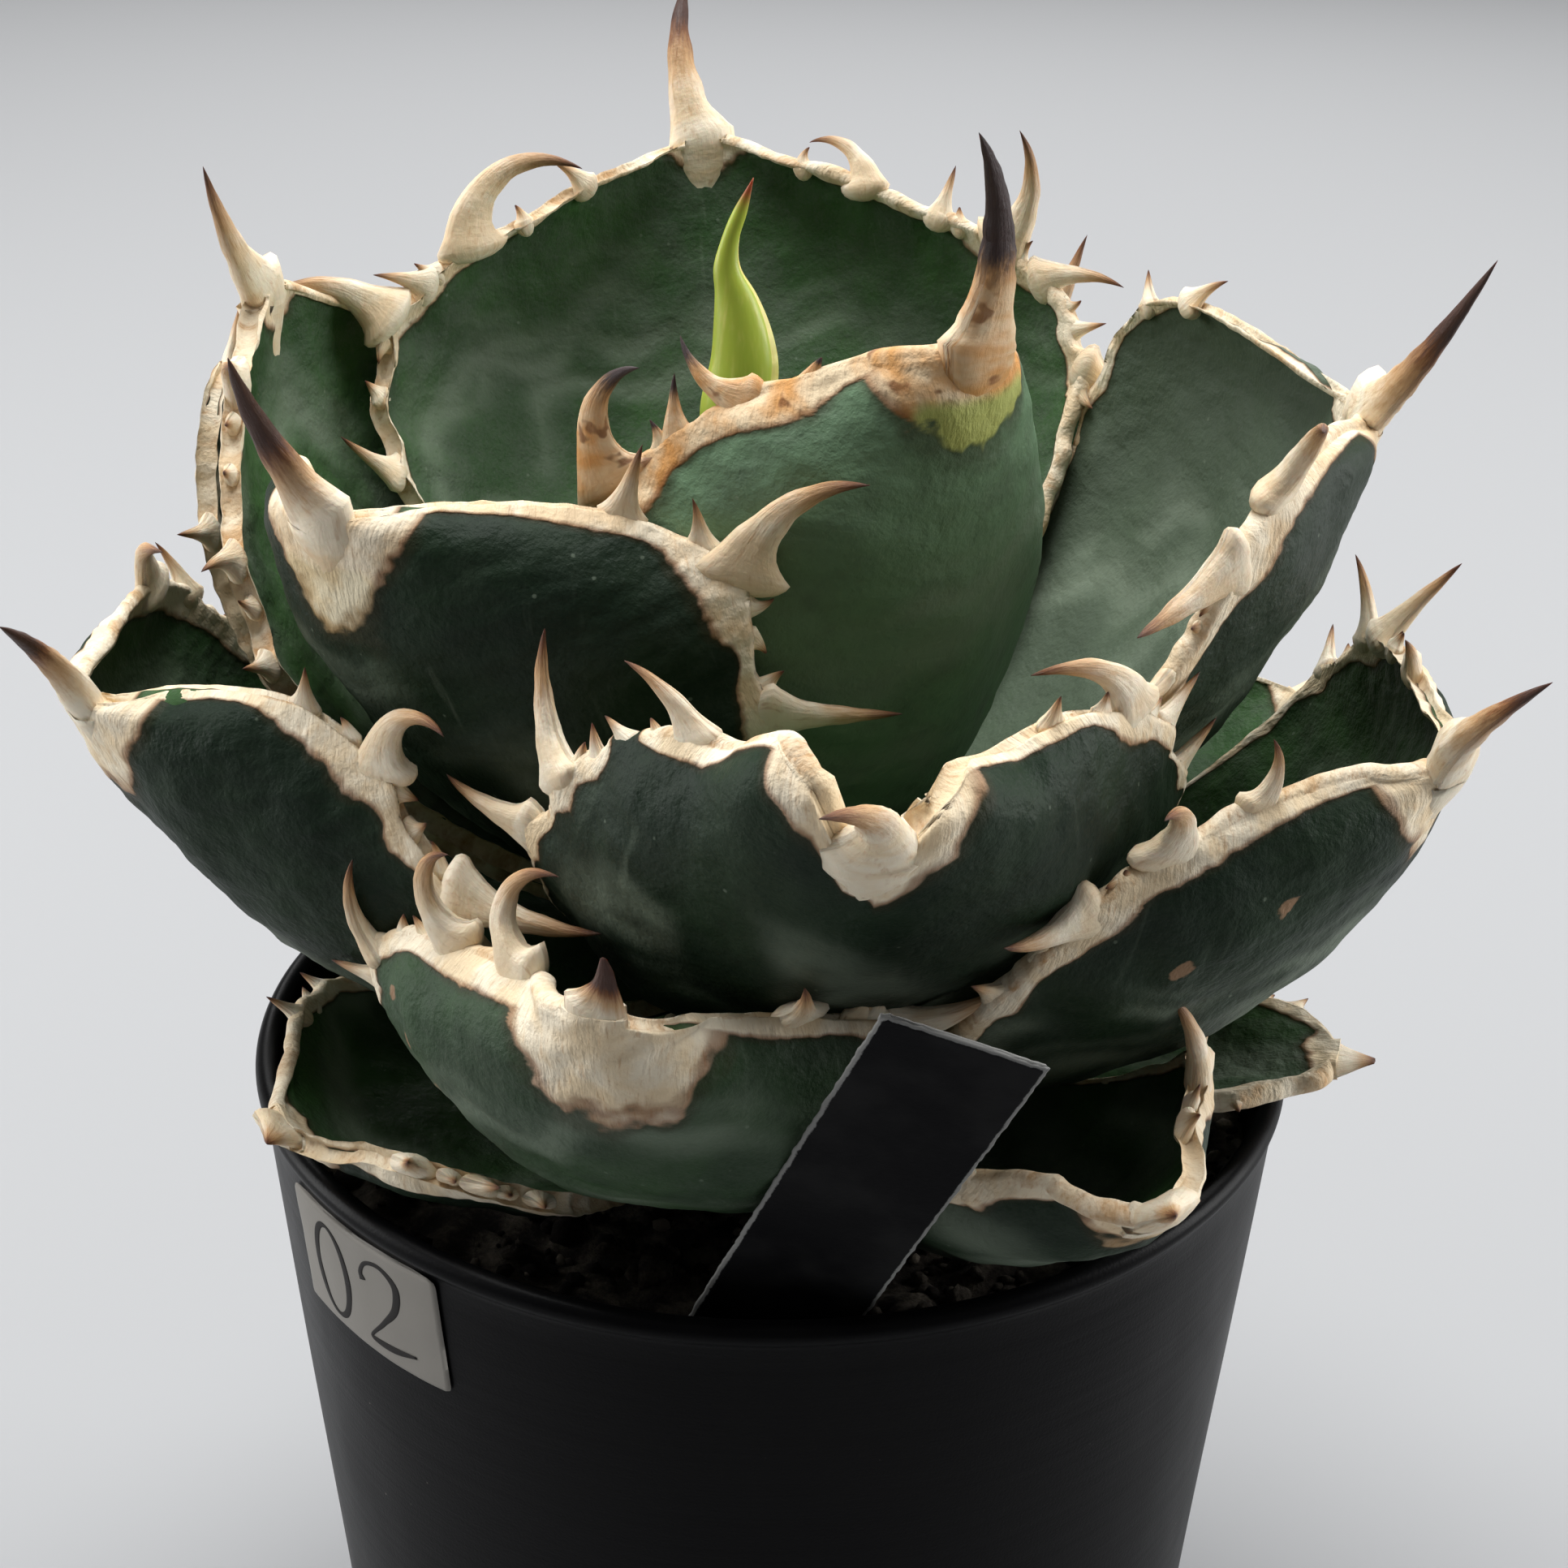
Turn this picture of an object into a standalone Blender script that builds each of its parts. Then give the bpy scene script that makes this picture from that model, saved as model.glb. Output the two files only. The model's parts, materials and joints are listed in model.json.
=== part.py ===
"""Potted agave: a thick-leaved rosette with horny toothed margins in a round black nursery pot.

The rosette is built the way the plant grows. Every leaf springs from the stem a little lower and a
little further out than the one before it, and each leaf is one closed solid: the blade, the horny
teeth on both margins and the spine at its tip. The frame has +Z up, the pot stands on z = 0 around
the Z axis, and the front of the plant faces -Y.
"""
import math
from dataclasses import dataclass

import bmesh
import bpy
import numpy as np

MM = 0.001

# ---------------------------------------------------------------- driving dimensions, millimetres
RIM_DIAMETER = 150.0
POT_HEIGHT = 140.0
WALL_TAPER = 4.86            # degrees that the wall leans in towards the foot
WALL_THICKNESS = 2.4
RIM_BEAD = 1.7               # radius of the rolled rim
FOOT_HEIGHT = 4.0
FOOT_WIDTH = 5.0
FLOOR_THICKNESS = 3.0
DRAIN_HOLES = 8
DRAIN_RADIUS = 4.0
DRAIN_CIRCLE = 34.0
CENTRE_DRAIN_RADIUS = 6.0
GAP = 0.3                    # clearance between pieces that touch
MIX_DEPTH = 15.0             # headspace from the rim down to the potting mix
DRAINAGE_TOP = 28.0          # top of the pumice layer above the ground
MIX_TOP = POT_HEIGHT - MIX_DEPTH

STEM_TOP = 29.5              # top of the stem above the rim
LEAF_STEP = 2.1              # each leaf starts this much lower than the one inside it
INNERMOST_BASE = (7.0, 28.5)     # radius and height above the rim of the innermost leaf's base
STEM_FLARE = 0.75            # the stem widens by this much from one leaf to the next
STEM_CLEARANCE = 1.1
STEM_FOOT = 22.0             # depth that the stem goes into the mix

BLADE_THICKNESS = 7.5
MARGIN_THICKNESS = 1.8
TIP_HALF_WIDTH = 3.2
NECK = 0.26                  # width of the blade's neck over its greatest width
MARGIN_BUMP = 1.2            # the margin rises this much under every tooth
BUMP_REACH = 4.5

LABEL_WIDTH = 33.0
LABEL_HEIGHT = 18.9
LABEL_THICKNESS = 0.3
LABEL_TOP = POT_HEIGHT - 4.8
LABEL_START = 209.4          # azimuth of the label's left edge
LABEL_TWIST = 1.9            # degrees that the label was stuck on askew

TAG_WIDTH = 19.3
TAG_THICKNESS = 0.8
TAG_SHOWING = 80.0           # length of the tag's left edge above the mix
TAG_BURIED = 24.0
TAG_CORNER = (12.5, -93.5, POT_HEIGHT + 56.7)    # upper left corner of the tag
TAG_AXIS = (0.296, -0.419, 0.858)
TAG_ACROSS = (0.944, -0.011, -0.330)

POT_SEGMENTS = 56
BODY_SEGMENTS = 40
BLADE_STATIONS = 14
RING_U = (-1.0, -0.55, 0.0, 0.55, 1.0)


# ---------------------------------------------------------------- what a leaf is
@dataclass(frozen=True)
class Tooth:
    """A margin tooth: side +1 is the right margin seen along the leaf with its upper face up."""
    side: int
    at: float                # 0 at the leaf's base, 1 at its tip
    length: float
    lean: float = 0.0        # degrees that it starts turned towards the tip
    hook: float = 0.0        # degrees that it turns further towards the tip
    tilt: float = 15.0       # degrees that it starts tilted towards the lower face
    curl: float = 0.0        # degrees that it tilts further


@dataclass(frozen=True)
class Spine:
    """The terminal spine: where it points from the tip, and how much it bends on its way."""
    length: float
    pitch: float = 0.0
    yaw: float = 0.0
    pitch_bend: float = 0.0
    yaw_bend: float = 0.0


@dataclass(frozen=True)
class Leaf:
    """One leaf: lengths in millimetres, angles in degrees, and the teeth on its margins."""
    azimuth: float
    rise: tuple              # slope of the midrib at the base and at the tip
    length: float
    width: float
    cup: float               # half the arc that the blade bends through from side to side
    spine: Spine
    teeth: tuple
    bend: float = 1.3        # above 1 the midrib turns up late
    swing: float = 0.0       # sideways bend of the midrib
    roll: float = 0.0        # turn of the blade about its midrib, base to tip
    widest: float = 0.55
    bluntness: float = 0.6   # small values give a broad blunt tip
    skew: float = 0.0        # share by which the right half is wider
    cup_base: float = 0.55
    cup_tip: float = 1.1
    thickness: float = BLADE_THICKNESS


def plain_teeth(count, length):
    """Teeth of a leaf at the back: pairs down both margins, hooked towards the base in turn."""
    teeth = []
    for i in range(count):
        at = 0.92 - 0.4 * i / max(count - 1, 1)
        size = length * (0.75 + 0.35 * math.sin(2.1 * i + count))
        teeth.append(Tooth(1, at, size, -10 + 20 * (i % 2), -35))
        teeth.append(Tooth(-1, at - 0.03, size * 0.9, -15 + 20 * ((i + 1) % 2), -30))
    return tuple(teeth)


LEAVES = (
    # the innermost leaf stands in front of the bud
    Leaf(-59, (53, 86), 95, 88, 80, Spine(31, -7, -10, -6, 55), (
        Tooth(1, .89, 12, -55, 60, 0, -15), Tooth(1, .82, 8, 25, 20, 10), Tooth(1, .74, 21, 7, 120, 25),
        Tooth(-1, .80, 9, 0, -30), Tooth(-1, .64, 8, -10, -25)),
        1.25, 4, 7, .50, .70, .08, .60, 1.10),
    # the broad leaf at the back
    Leaf(97, (23, 75), 120, 122, 63, Spine(30, -10, -20, -25, 45), (
        Tooth(-1, .94, 7, -30, -20, 10), Tooth(-1, .84, 25, 10, 130, 5, -50), Tooth(-1, .77, 9, -25, -15),
        Tooth(-1, .71, 20, -10, -65, 20, -20), Tooth(-1, .46, 10, 30, 20, 10),
        Tooth(1, .92, 14, 25, 105, 20, -25), Tooth(1, .86, 8), Tooth(1, .80, 20, -10, 60, 15, -40),
        Tooth(1, .73, 13, -35, -50, 12), Tooth(1, .64, 6), Tooth(1, .57, 13, -35, -40, 45)),
        1.35, 5, -2, .60, .85, -.02, .65, 1.10),
    # the front left inner leaf
    Leaf(214, (29, 81), 93, 86, 63, Spine(27, -15, 25, -10, -55), (
        Tooth(-1, .95, 10, -5, -5), Tooth(-1, .87, 6, 20, 15), Tooth(-1, .80, 22, 45, -85, 30, 5),
        Tooth(-1, .53, 16, 5, 5, 10), Tooth(1, .80, 9, 0, -30), Tooth(1, .62, 10, -10, -40)),
        1.45, 3, 16, .70, .30, -.16, .55, 1.10),
    # the tall leaf on the right
    Leaf(-7, (28, 74), 103, 108, 61, Spine(40, 5, 64, -10, -45), (
        Tooth(1, .96, 20, 22, -90, 25, -10), Tooth(1, .88, 20, -60, 25, -5, 15), Tooth(1, .70, 8),
        Tooth(-1, .97, 7, 40, 30), Tooth(-1, .91, 5)),
        1.2, 4, 3, .70, .25, -.12, .30, .85),
    # the left leaf behind
    Leaf(159, (23, 88), 111, 82, 27, Spine(26, 5, -52, -5, 33), (
        Tooth(-1, .93, 14, -20, -25, 5, -30), Tooth(-1, .74, 9, -5, -30), Tooth(-1, .60, 6),
        Tooth(1, .72, 10, 10, -30)),
        1.35, 1, 3, .55, .70, -.02, .55, 1.00),
    # the front leaf with the sunken tip
    Leaf(-82, (13, 62), 103, 91, 65, Spine(30, -20, -8, -15, 50), (
        Tooth(1, .96, 12, -15, -50), Tooth(1, .87, 4, -20, -15), Tooth(1, .80, 5, 20, 15),
        Tooth(1, .72, 18, 20, 45, 3, -10), Tooth(1, .56, 15, -25, 5, 23, -20),
        Tooth(-1, .97, 4, 5), Tooth(-1, .87, 18, 40, 85, 10, -50), Tooth(-1, .78, 8, -10, -5),
        Tooth(-1, .63, 8)),
        1.1, -4, -2, .55, .30, -.10, .40, 1.30),
    # the narrow leaf pinched between its neighbours on the left
    Leaf(161, (13, 97), 113, 40, 15, Spine(8, 0, 0, 0, 10), (
        Tooth(1, .87, 20, 90, -140, 5, -40), Tooth(1, .78, 18, 50, -100, 20, -30), Tooth(-1, .82, 8)),
        1.45, -6, 9, .55, .35, -.02, .60, 1.00, 5.0),
    Leaf(62, (14, 70), 100, 80, 57, Spine(24, 0, 0, 0, 15), plain_teeth(3, 10)),
    # the left leaf
    Leaf(193, (-4, 71), 101, 97, 57, Spine(27, -12, -30, -10, -15), (
        Tooth(-1, .95, 6), Tooth(-1, .82, 18, 34, -125, 20, -10), Tooth(-1, .57, 21, -35, 30, 15),
        Tooth(1, .96, 18, 35, 65, 0, -50), Tooth(1, .88, 9, 45, 30), Tooth(1, .66, 9, -10, -30)),
        1.05, 7, 14, .60, .25, .02, .40, 1.25),
    # the right leaf
    Leaf(-30, (6, 75), 106, 106, 54, Spine(38, -7, 52, -20, -25), (
        Tooth(1, .96, 10, 50, -75, 8, -10), Tooth(1, .89, 18, 35, -95, 25, 10),
        Tooth(1, .80, 15, -70, 60, 20, 10), Tooth(1, .62, 6),
        Tooth(-1, .97, 8, 40, 10, -15, -15), Tooth(-1, .88, 15, 25, 10, 30),
        Tooth(-1, .82, 12, 18, -20, 0, -20), Tooth(-1, .66, 8)),
        1.3, -5, 3, .60, .45, -.02, .45, 1.10),
    Leaf(110, (4, 60), 110, 79, 43, Spine(24, 0, 0, 0, -15), plain_teeth(4, 10), cup_base=.50),
    # the low front leaf
    Leaf(-102, (-7, 88), 94, 84, 52, Spine(8, -4, -28, 0, 37), (
        Tooth(1, .95, 20, -55, 158, 18, -45), Tooth(1, .88, 19, -44, 135, 30, -33),
        Tooth(1, .68, 14, 85, 5, 35, -55), Tooth(1, .60, 8, 10, 0, 45),
        Tooth(-1, .89, 11, 45, -25, 20), Tooth(-1, .83, 5), Tooth(-1, .77, 13, 0, 30, 25, 10)),
        1.35, -5, 0, .70, 1.05, .06, .25, 1.55, 6.0),
    Leaf(33, (0, 38), 90, 71, 45, Spine(15, 0, 0, 0, 15), plain_teeth(3, 9)),
    # the small leaf at the front right, resting on the mix
    Leaf(-58, (-19, 51), 86, 53, 59, Spine(17, -12, 26, 0, -5), (
        Tooth(-1, .96, 6, 24, 18), Tooth(-1, .88, 16, 30, 5, 0, -25), Tooth(-1, .70, 5),
        Tooth(1, .83, 9, 34, 24, 13), Tooth(1, .66, 4)),
        .95, -9, 6, .65, .65, -.14, .30, 1.50, 5.6),
    Leaf(92, (0, 40), 98, 60, 39, Spine(12, 0, 0, 0, -10), plain_teeth(3, 8), roll=3),
    # the small leaf at the front left
    Leaf(215, (-6, 39), 63, 62, 40, Spine(11, 2, -45, 0, -5), (
        Tooth(-1, .88, 10, -15, -10, 5), Tooth(-1, .78, 8, -13, -10, 5), Tooth(-1, .66, 5),
        Tooth(1, .84, 5), Tooth(1, .70, 4)),
        1.45, 2, -5, .55, .80, 0, .30, 1.20, 5.6),
    # the low leaf over the rim on the right
    Leaf(-12, (11, 10), 64, 31, 15, Spine(5), (Tooth(-1, .88, 4), Tooth(-1, .74, 4), Tooth(1, .80, 3)),
         1.35, -4, 1, .55, .60, 0, .55, 1.05, 6.0),
    Leaf(148, (6, 41), 83, 54, 49, Spine(14, 0, 0, 0, 10), plain_teeth(3, 7), thickness=6.0),
)


# ---------------------------------------------------------------- geometry of a leaf
def leaf_base(rank):
    """Radius and height above the ground of the leaf's base, counted from the innermost leaf."""
    radius, height = INNERMOST_BASE
    return radius + STEM_FLARE * rank, POT_HEIGHT + height - LEAF_STEP * rank


def midrib(leaf, rank, s):
    """Point, tangent, upper-face normal and right-hand direction of the midrib at s."""
    steps = np.linspace(0.0, 1.0, 201)
    slope = np.radians(leaf.rise[0] + (leaf.rise[1] - leaf.rise[0]) * steps ** leaf.bend)
    heading = np.radians(leaf.azimuth + leaf.swing * steps ** 1.5)
    tangent = np.stack([np.cos(slope) * np.cos(heading), np.cos(slope) * np.sin(heading), np.sin(slope)], -1)
    normal = np.stack([-np.sin(slope) * np.cos(heading), -np.sin(slope) * np.sin(heading), np.cos(slope)], -1)
    right = np.cross(tangent, normal)
    turn = np.radians(leaf.roll) * steps[:, None]
    normal = normal * np.cos(turn) + right * np.sin(turn)
    right = np.cross(tangent, normal)
    radius, height = leaf_base(rank)
    start = np.array([radius * math.cos(math.radians(leaf.azimuth)),
                      radius * math.sin(math.radians(leaf.azimuth)), height])
    walk = np.cumsum((tangent[1:] + tangent[:-1]) / 2 * leaf.length / 200, axis=0)
    point = start + np.concatenate([np.zeros((1, 3)), walk])
    return [np.stack([np.interp(s, steps, field[:, k]) for k in range(3)], -1)
            for field in (point, tangent, normal, right)]


def half_width(leaf, s, u):
    """Half the blade's width: a neck, the widest place, a blunt tip, and a rise under each tooth."""
    below = 1 - (1 - NECK) * np.clip((leaf.widest - s) / leaf.widest, 0, 1) ** 1.6
    above = (1 - np.clip((s - leaf.widest) / (1 - leaf.widest), 0, 1) ** 2.2) ** leaf.bluntness
    width = leaf.width / 2 * np.where(s < leaf.widest, below, above) * (1 + leaf.skew * np.sign(u))
    for tooth in leaf.teeth:
        near = np.exp(-((s - tooth.at) * leaf.length / BUMP_REACH) ** 2)
        width = width + MARGIN_BUMP * near * np.where(np.sign(u) == tooth.side, np.abs(u) ** 4, 0)
    return np.maximum(width, TIP_HALF_WIDTH)


def thickness(leaf, s, u):
    """Blade thickness: thick at the midrib, thin at the margins and towards the tip."""
    middle = leaf.thickness * (1 - 0.62 * s ** 1.3) * np.clip(0.6 + 1.6 * s, 0, 1)
    edge = np.minimum(MARGIN_THICKNESS, middle)
    return edge + (middle - edge) * (1 - np.abs(u) ** 2.4)


def blade(leaf, rank, s, u, depth):
    """Point of the blade at s along it and u across it, the given depth below its upper face."""
    point, _, normal, right = midrib(leaf, rank, s)
    width = half_width(leaf, s, u)
    cup = np.radians(leaf.cup) * (leaf.cup_base + (leaf.cup_tip - leaf.cup_base) * s)
    across = width / cup * np.sin(cup * u) + np.sin(cup * u) * depth
    up = width / cup * (1 - np.cos(cup * u)) - np.cos(cup * u) * depth
    return point + right * across[..., None] + normal * up[..., None]


def turned(first, second, third, along, aside):
    """Direction turned from `first` by `along` towards `second` and by `aside` towards `third`,
    with the two directions square to it."""
    flat = math.cos(along) * first + math.sin(along) * second
    heading = math.cos(aside) * flat + math.sin(aside) * third
    return heading, -math.sin(along) * first + math.cos(along) * second, \
        -math.sin(aside) * flat + math.cos(aside) * third


def horn_path(start, axes, length, angles, bends, stops):
    """Centres and cross directions of a curved horn at the given shares of its length."""
    places, centre, walked = [], np.array(start), 0.0
    for stop in stops:
        while walked < stop - 1e-9:
            step = min(0.05, stop - walked)
            middle = walked + step / 2
            heading = turned(*axes, math.radians(angles[0] + bends[0] * middle),
                             math.radians(angles[1] + bends[1] * middle))[0]
            centre = centre + heading * length * step
            walked += step
        places.append((centre.copy(), turned(*axes, math.radians(angles[0] + bends[0] * stop),
                                             math.radians(angles[1] + bends[1] * stop))))
    return places


def leaf_mesh(leaf, rank):
    """The closed solid of one leaf: rings along the blade, a spine, and a horn on each tooth's quad."""
    share = np.linspace(0, 1, BLADE_STATIONS)
    stations = 1 - (1 - share) ** 1.3
    ring_u = np.array(RING_U + RING_U[::-1])
    s, u = np.meshgrid(stations, ring_u, indexing="ij")
    lower = np.zeros_like(u)
    lower[:, len(RING_U):] = 1.0
    points = blade(leaf, rank, s.ravel(), u.ravel(), (lower * thickness(leaf, s, u)).ravel())
    count = len(ring_u)
    bm = bmesh.new()
    verts = [[bm.verts.new(points[j * count + i] * MM) for i in range(count)] for j in range(len(stations))]

    # which margin quads carry a tooth
    taken = {}
    middles = (stations[1:] + stations[:-1]) / 2
    for tooth in leaf.teeth:
        order = np.argsort(np.abs(middles - tooth.at))
        slot = next(int(j) for j in order if (int(j), tooth.side) not in taken)
        taken[(slot, tooth.side)] = tooth
    right_edge, left_edge = len(RING_U) - 1, count - 1
    for j in range(len(stations) - 1):
        for i in range(count):
            side = {right_edge: 1, left_edge: -1}.get(i, 0)
            if (j, side) in taken:
                continue
            k = (i + 1) % count
            bm.faces.new((verts[j][i], verts[j][k], verts[j + 1][k], verts[j + 1][i]))
    bm.faces.new(verts[0])

    for (j, side), tooth in taken.items():
        upper = right_edge if side > 0 else 0
        under = right_edge + 1 if side > 0 else left_edge
        corners = [verts[j][upper], verts[j + 1][upper], verts[j + 1][under], verts[j][under]]
        add_tooth(bm, corners, tooth)
    add_spine(bm, verts[-1], leaf, rank)
    bmesh.ops.recalc_face_normals(bm, faces=bm.faces)
    return bm


def add_tooth(bm, corners, tooth):
    """Raise a curved four-sided horn from a margin quad."""
    base = np.array([v.co for v in corners]) / MM
    start = base.mean(axis=0)
    along = (base[1] + base[2] - base[0] - base[3])
    half_base = np.linalg.norm(along) / 4
    along /= np.linalg.norm(along)
    up = base[0] + base[1] - base[2] - base[3]
    up -= along * up.dot(along)
    half_thick = np.linalg.norm(up) / 4
    up /= np.linalg.norm(up)
    out = np.cross(along, up) * tooth.side
    stops = (0.3, 0.65)
    places = horn_path(start, (out, along, -up), tooth.length, (tooth.lean, tooth.tilt),
                       (tooth.hook, tooth.curl), stops + (1.0,))
    ring = corners
    for stop, (centre, (_, lengthwise, downward)) in zip(stops, places):
        wide = min(half_base, 0.22 * tooth.length) * (1 - stop) ** 0.7
        deep = half_thick * (1 - stop) ** 0.5
        points = [centre + lengthwise * a * wide + downward * b * deep
                  for a, b in ((-1, -1), (1, -1), (1, 1), (-1, 1))]
        fresh = [bm.verts.new(point * MM) for point in points]
        for i in range(4):
            k = (i + 1) % 4
            bm.faces.new((ring[i], ring[k], fresh[k], fresh[i]))
        ring = fresh
    tip = bm.verts.new(places[-1][0] * MM)
    for i in range(4):
        bm.faces.new((ring[i], ring[(i + 1) % 4], tip))


def add_spine(bm, ring, leaf, rank):
    """Carry the blade's last ring on into the round terminal spine."""
    point, tangent, normal, right = [field[0] for field in midrib(leaf, rank, np.array([1.0]))]
    spine = leaf.spine
    start = point - normal * thickness(leaf, np.array([1.0]), np.array([0.0]))[0] / 2
    stops = (0.16, 0.45, 0.75)
    places = horn_path(start, (tangent, right, normal), spine.length, (spine.yaw, spine.pitch),
                       (spine.yaw_bend, spine.pitch_bend), stops + (1.0,))
    count = len(ring)
    for stop, (centre, (_, sideways, upward)) in zip(stops, places):
        radius = min(TIP_HALF_WIDTH, 0.2 * spine.length) * 0.85 * (1 - stop) ** 0.8
        fresh = []
        for i in range(count):
            angle = math.radians(162 - 36 * i)
            offset = sideways * math.cos(angle) + upward * math.sin(angle) * 0.8
            fresh.append(bm.verts.new((centre + offset * radius) * MM))
        for i in range(count):
            k = (i + 1) % count
            bm.faces.new((ring[i], ring[k], fresh[k], fresh[i]))
        ring = fresh
    tip = bm.verts.new(places[-1][0] * MM)
    for i in range(count):
        bm.faces.new((ring[i], ring[(i + 1) % count], tip))


# ---------------------------------------------------------------- materials and helpers
def material(name, colour, roughness, metallic=0.0):
    """A plain Principled material."""
    made = bpy.data.materials.new(name)
    made.use_nodes = True
    shader = made.node_tree.nodes["Principled BSDF"]
    shader.inputs["Base Color"].default_value = (*colour, 1.0)
    shader.inputs["Roughness"].default_value = roughness
    shader.inputs["Metallic"].default_value = metallic
    return made


def add_object(name, bm, finish):
    """Turn a bmesh into a named object with one material."""
    mesh = bpy.data.meshes.new(name)
    bm.to_mesh(mesh)
    bm.free()
    mesh.materials.append(finish)
    obj = bpy.data.objects.new(name, mesh)
    bpy.context.scene.collection.objects.link(obj)
    return obj


def turned_body(profile, segments):
    """A closed solid turned about Z from (radius, height) points; points on the axis are poles."""
    bm = bmesh.new()
    rings = []
    for radius, height in profile:
        if radius == 0:
            rings.append([bm.verts.new((0, 0, height * MM))])
            continue
        rings.append([bm.verts.new((radius * math.cos(a) * MM, radius * math.sin(a) * MM, height * MM))
                      for a in np.linspace(0, 2 * math.pi, segments, endpoint=False)])
    closed = profile[0][0] != 0
    pairs = list(zip(rings, rings[1:] + rings[:1])) if closed else list(zip(rings, rings[1:]))
    for lower, upper in pairs:
        for i in range(segments):
            k = (i + 1) % segments
            if len(lower) == 1:
                bm.faces.new((lower[0], upper[k], upper[i]))
            elif len(upper) == 1:
                bm.faces.new((lower[i], lower[k], upper[0]))
            else:
                bm.faces.new((lower[i], lower[k], upper[k], upper[i]))
    bmesh.ops.recalc_face_normals(bm, faces=bm.faces)
    return bm


def cut(target, cutter):
    """Subtract a cutter, which stays as a hidden guide."""
    cutter.hide_render = True
    cutter.display_type = "WIRE"
    step = target.modifiers.new("cut_" + cutter.name, "BOOLEAN")
    step.operation = "DIFFERENCE"
    step.object = cutter


# ---------------------------------------------------------------- pot and what fills it
def outer_radius(height):
    """Radius of the pot's outer wall at a height above the ground."""
    return RIM_DIAMETER / 2 - 0.6 - (POT_HEIGHT - height) * math.tan(math.radians(WALL_TAPER))


def inner_radius(height):
    """Radius of the pot's inner wall."""
    return outer_radius(height) - WALL_THICKNESS


def build_pot(finish):
    """The pot: foot ring, raised floor, tapered wall and rolled rim, with drain holes."""
    floor_low, floor_high = FOOT_HEIGHT, FOOT_HEIGHT + FLOOR_THICKNESS
    bead_height = POT_HEIGHT - RIM_BEAD
    bead_radius = RIM_DIAMETER / 2 - RIM_BEAD
    profile = [(outer_radius(0) - FOOT_WIDTH, 0), (outer_radius(0) - 0.8, 0), (outer_radius(1.2), 1.2),
               (outer_radius(bead_height - 2.2), bead_height - 2.2)]
    for angle in (-40, 0, 40, 80, 120, 160, 200):
        turn = math.radians(angle)
        profile.append((bead_radius + RIM_BEAD * math.cos(turn), bead_height + RIM_BEAD * math.sin(turn)))
    profile += [(inner_radius(bead_height - 3), bead_height - 3), (inner_radius(floor_high), floor_high),
                (0, floor_high)]
    lower = [(0, floor_low), (outer_radius(0) - FOOT_WIDTH, floor_low)]
    pot = add_object("pot", turned_body(lower + profile, POT_SEGMENTS), finish)
    drains = [(0, 0, CENTRE_DRAIN_RADIUS)]
    for i in range(DRAIN_HOLES):
        turn = 2 * math.pi * (i + 0.5) / DRAIN_HOLES
        drains.append((DRAIN_CIRCLE * math.cos(turn), DRAIN_CIRCLE * math.sin(turn), DRAIN_RADIUS))
    bm = bmesh.new()
    for x, y, radius in drains:
        made = bmesh.ops.create_cone(bm, cap_ends=True, segments=16, radius1=radius * MM,
                                     radius2=radius * MM, depth=FLOOR_THICKNESS * 3 * MM)
        bmesh.ops.translate(bm, verts=made["verts"],
                            vec=(x * MM, y * MM, (floor_low + floor_high) / 2 * MM))
    cut(pot, add_object("drain_cutter", bm, finish))
    return pot


def build_fill(drainage_finish, mix_finish):
    """The pumice layer on the floor and the potting mix on top of it, around the stem's foot."""
    bottom = FOOT_HEIGHT + FLOOR_THICKNESS + GAP
    pumice = [(0, bottom), (inner_radius(bottom) - GAP, bottom),
              (inner_radius(DRAINAGE_TOP) - GAP, DRAINAGE_TOP), (0, DRAINAGE_TOP)]
    add_object("pumice_layer", turned_body(pumice, BODY_SEGMENTS), drainage_finish)
    low = DRAINAGE_TOP + GAP
    hole = stem_foot_radius() + GAP
    mix = [(0, low), (inner_radius(low) - GAP, low), (inner_radius(MIX_TOP) - GAP, MIX_TOP),
           (hole, MIX_TOP), (hole, MIX_TOP - STEM_FOOT - GAP), (0, MIX_TOP - STEM_FOOT - GAP)]
    soil = add_object("potting_mix", turned_body(mix, BODY_SEGMENTS), mix_finish)
    slot = tag_block(GAP)
    cut(soil, add_object("tag_slot_cutter", slot, mix_finish))


def stem_foot_radius():
    """Radius of the stem where the lowest leaf leaves it."""
    return leaf_base(len(LEAVES) - 1)[0] - STEM_CLEARANCE


def build_stem(finish):
    """The short stem: it widens downwards, one step for each leaf, and ends inside the mix."""
    top_radius = leaf_base(0)[0] - STEM_CLEARANCE
    low_height = leaf_base(len(LEAVES) - 1)[1] - 6
    profile = [(0, POT_HEIGHT + STEM_TOP), (top_radius - 1.5, POT_HEIGHT + STEM_TOP),
               (top_radius, leaf_base(0)[1] - 2)]
    for rank in range(3, len(LEAVES), 4):
        radius, height = leaf_base(rank)
        profile.append((radius - STEM_CLEARANCE - 0.2, height - 4))
    profile += [(stem_foot_radius(), low_height), (stem_foot_radius(), MIX_TOP - STEM_FOOT + 6),
                (stem_foot_radius() - 8, MIX_TOP - STEM_FOOT), (0, MIX_TOP - STEM_FOOT)]
    add_object("stem", turned_body(profile, 28), finish)


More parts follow.
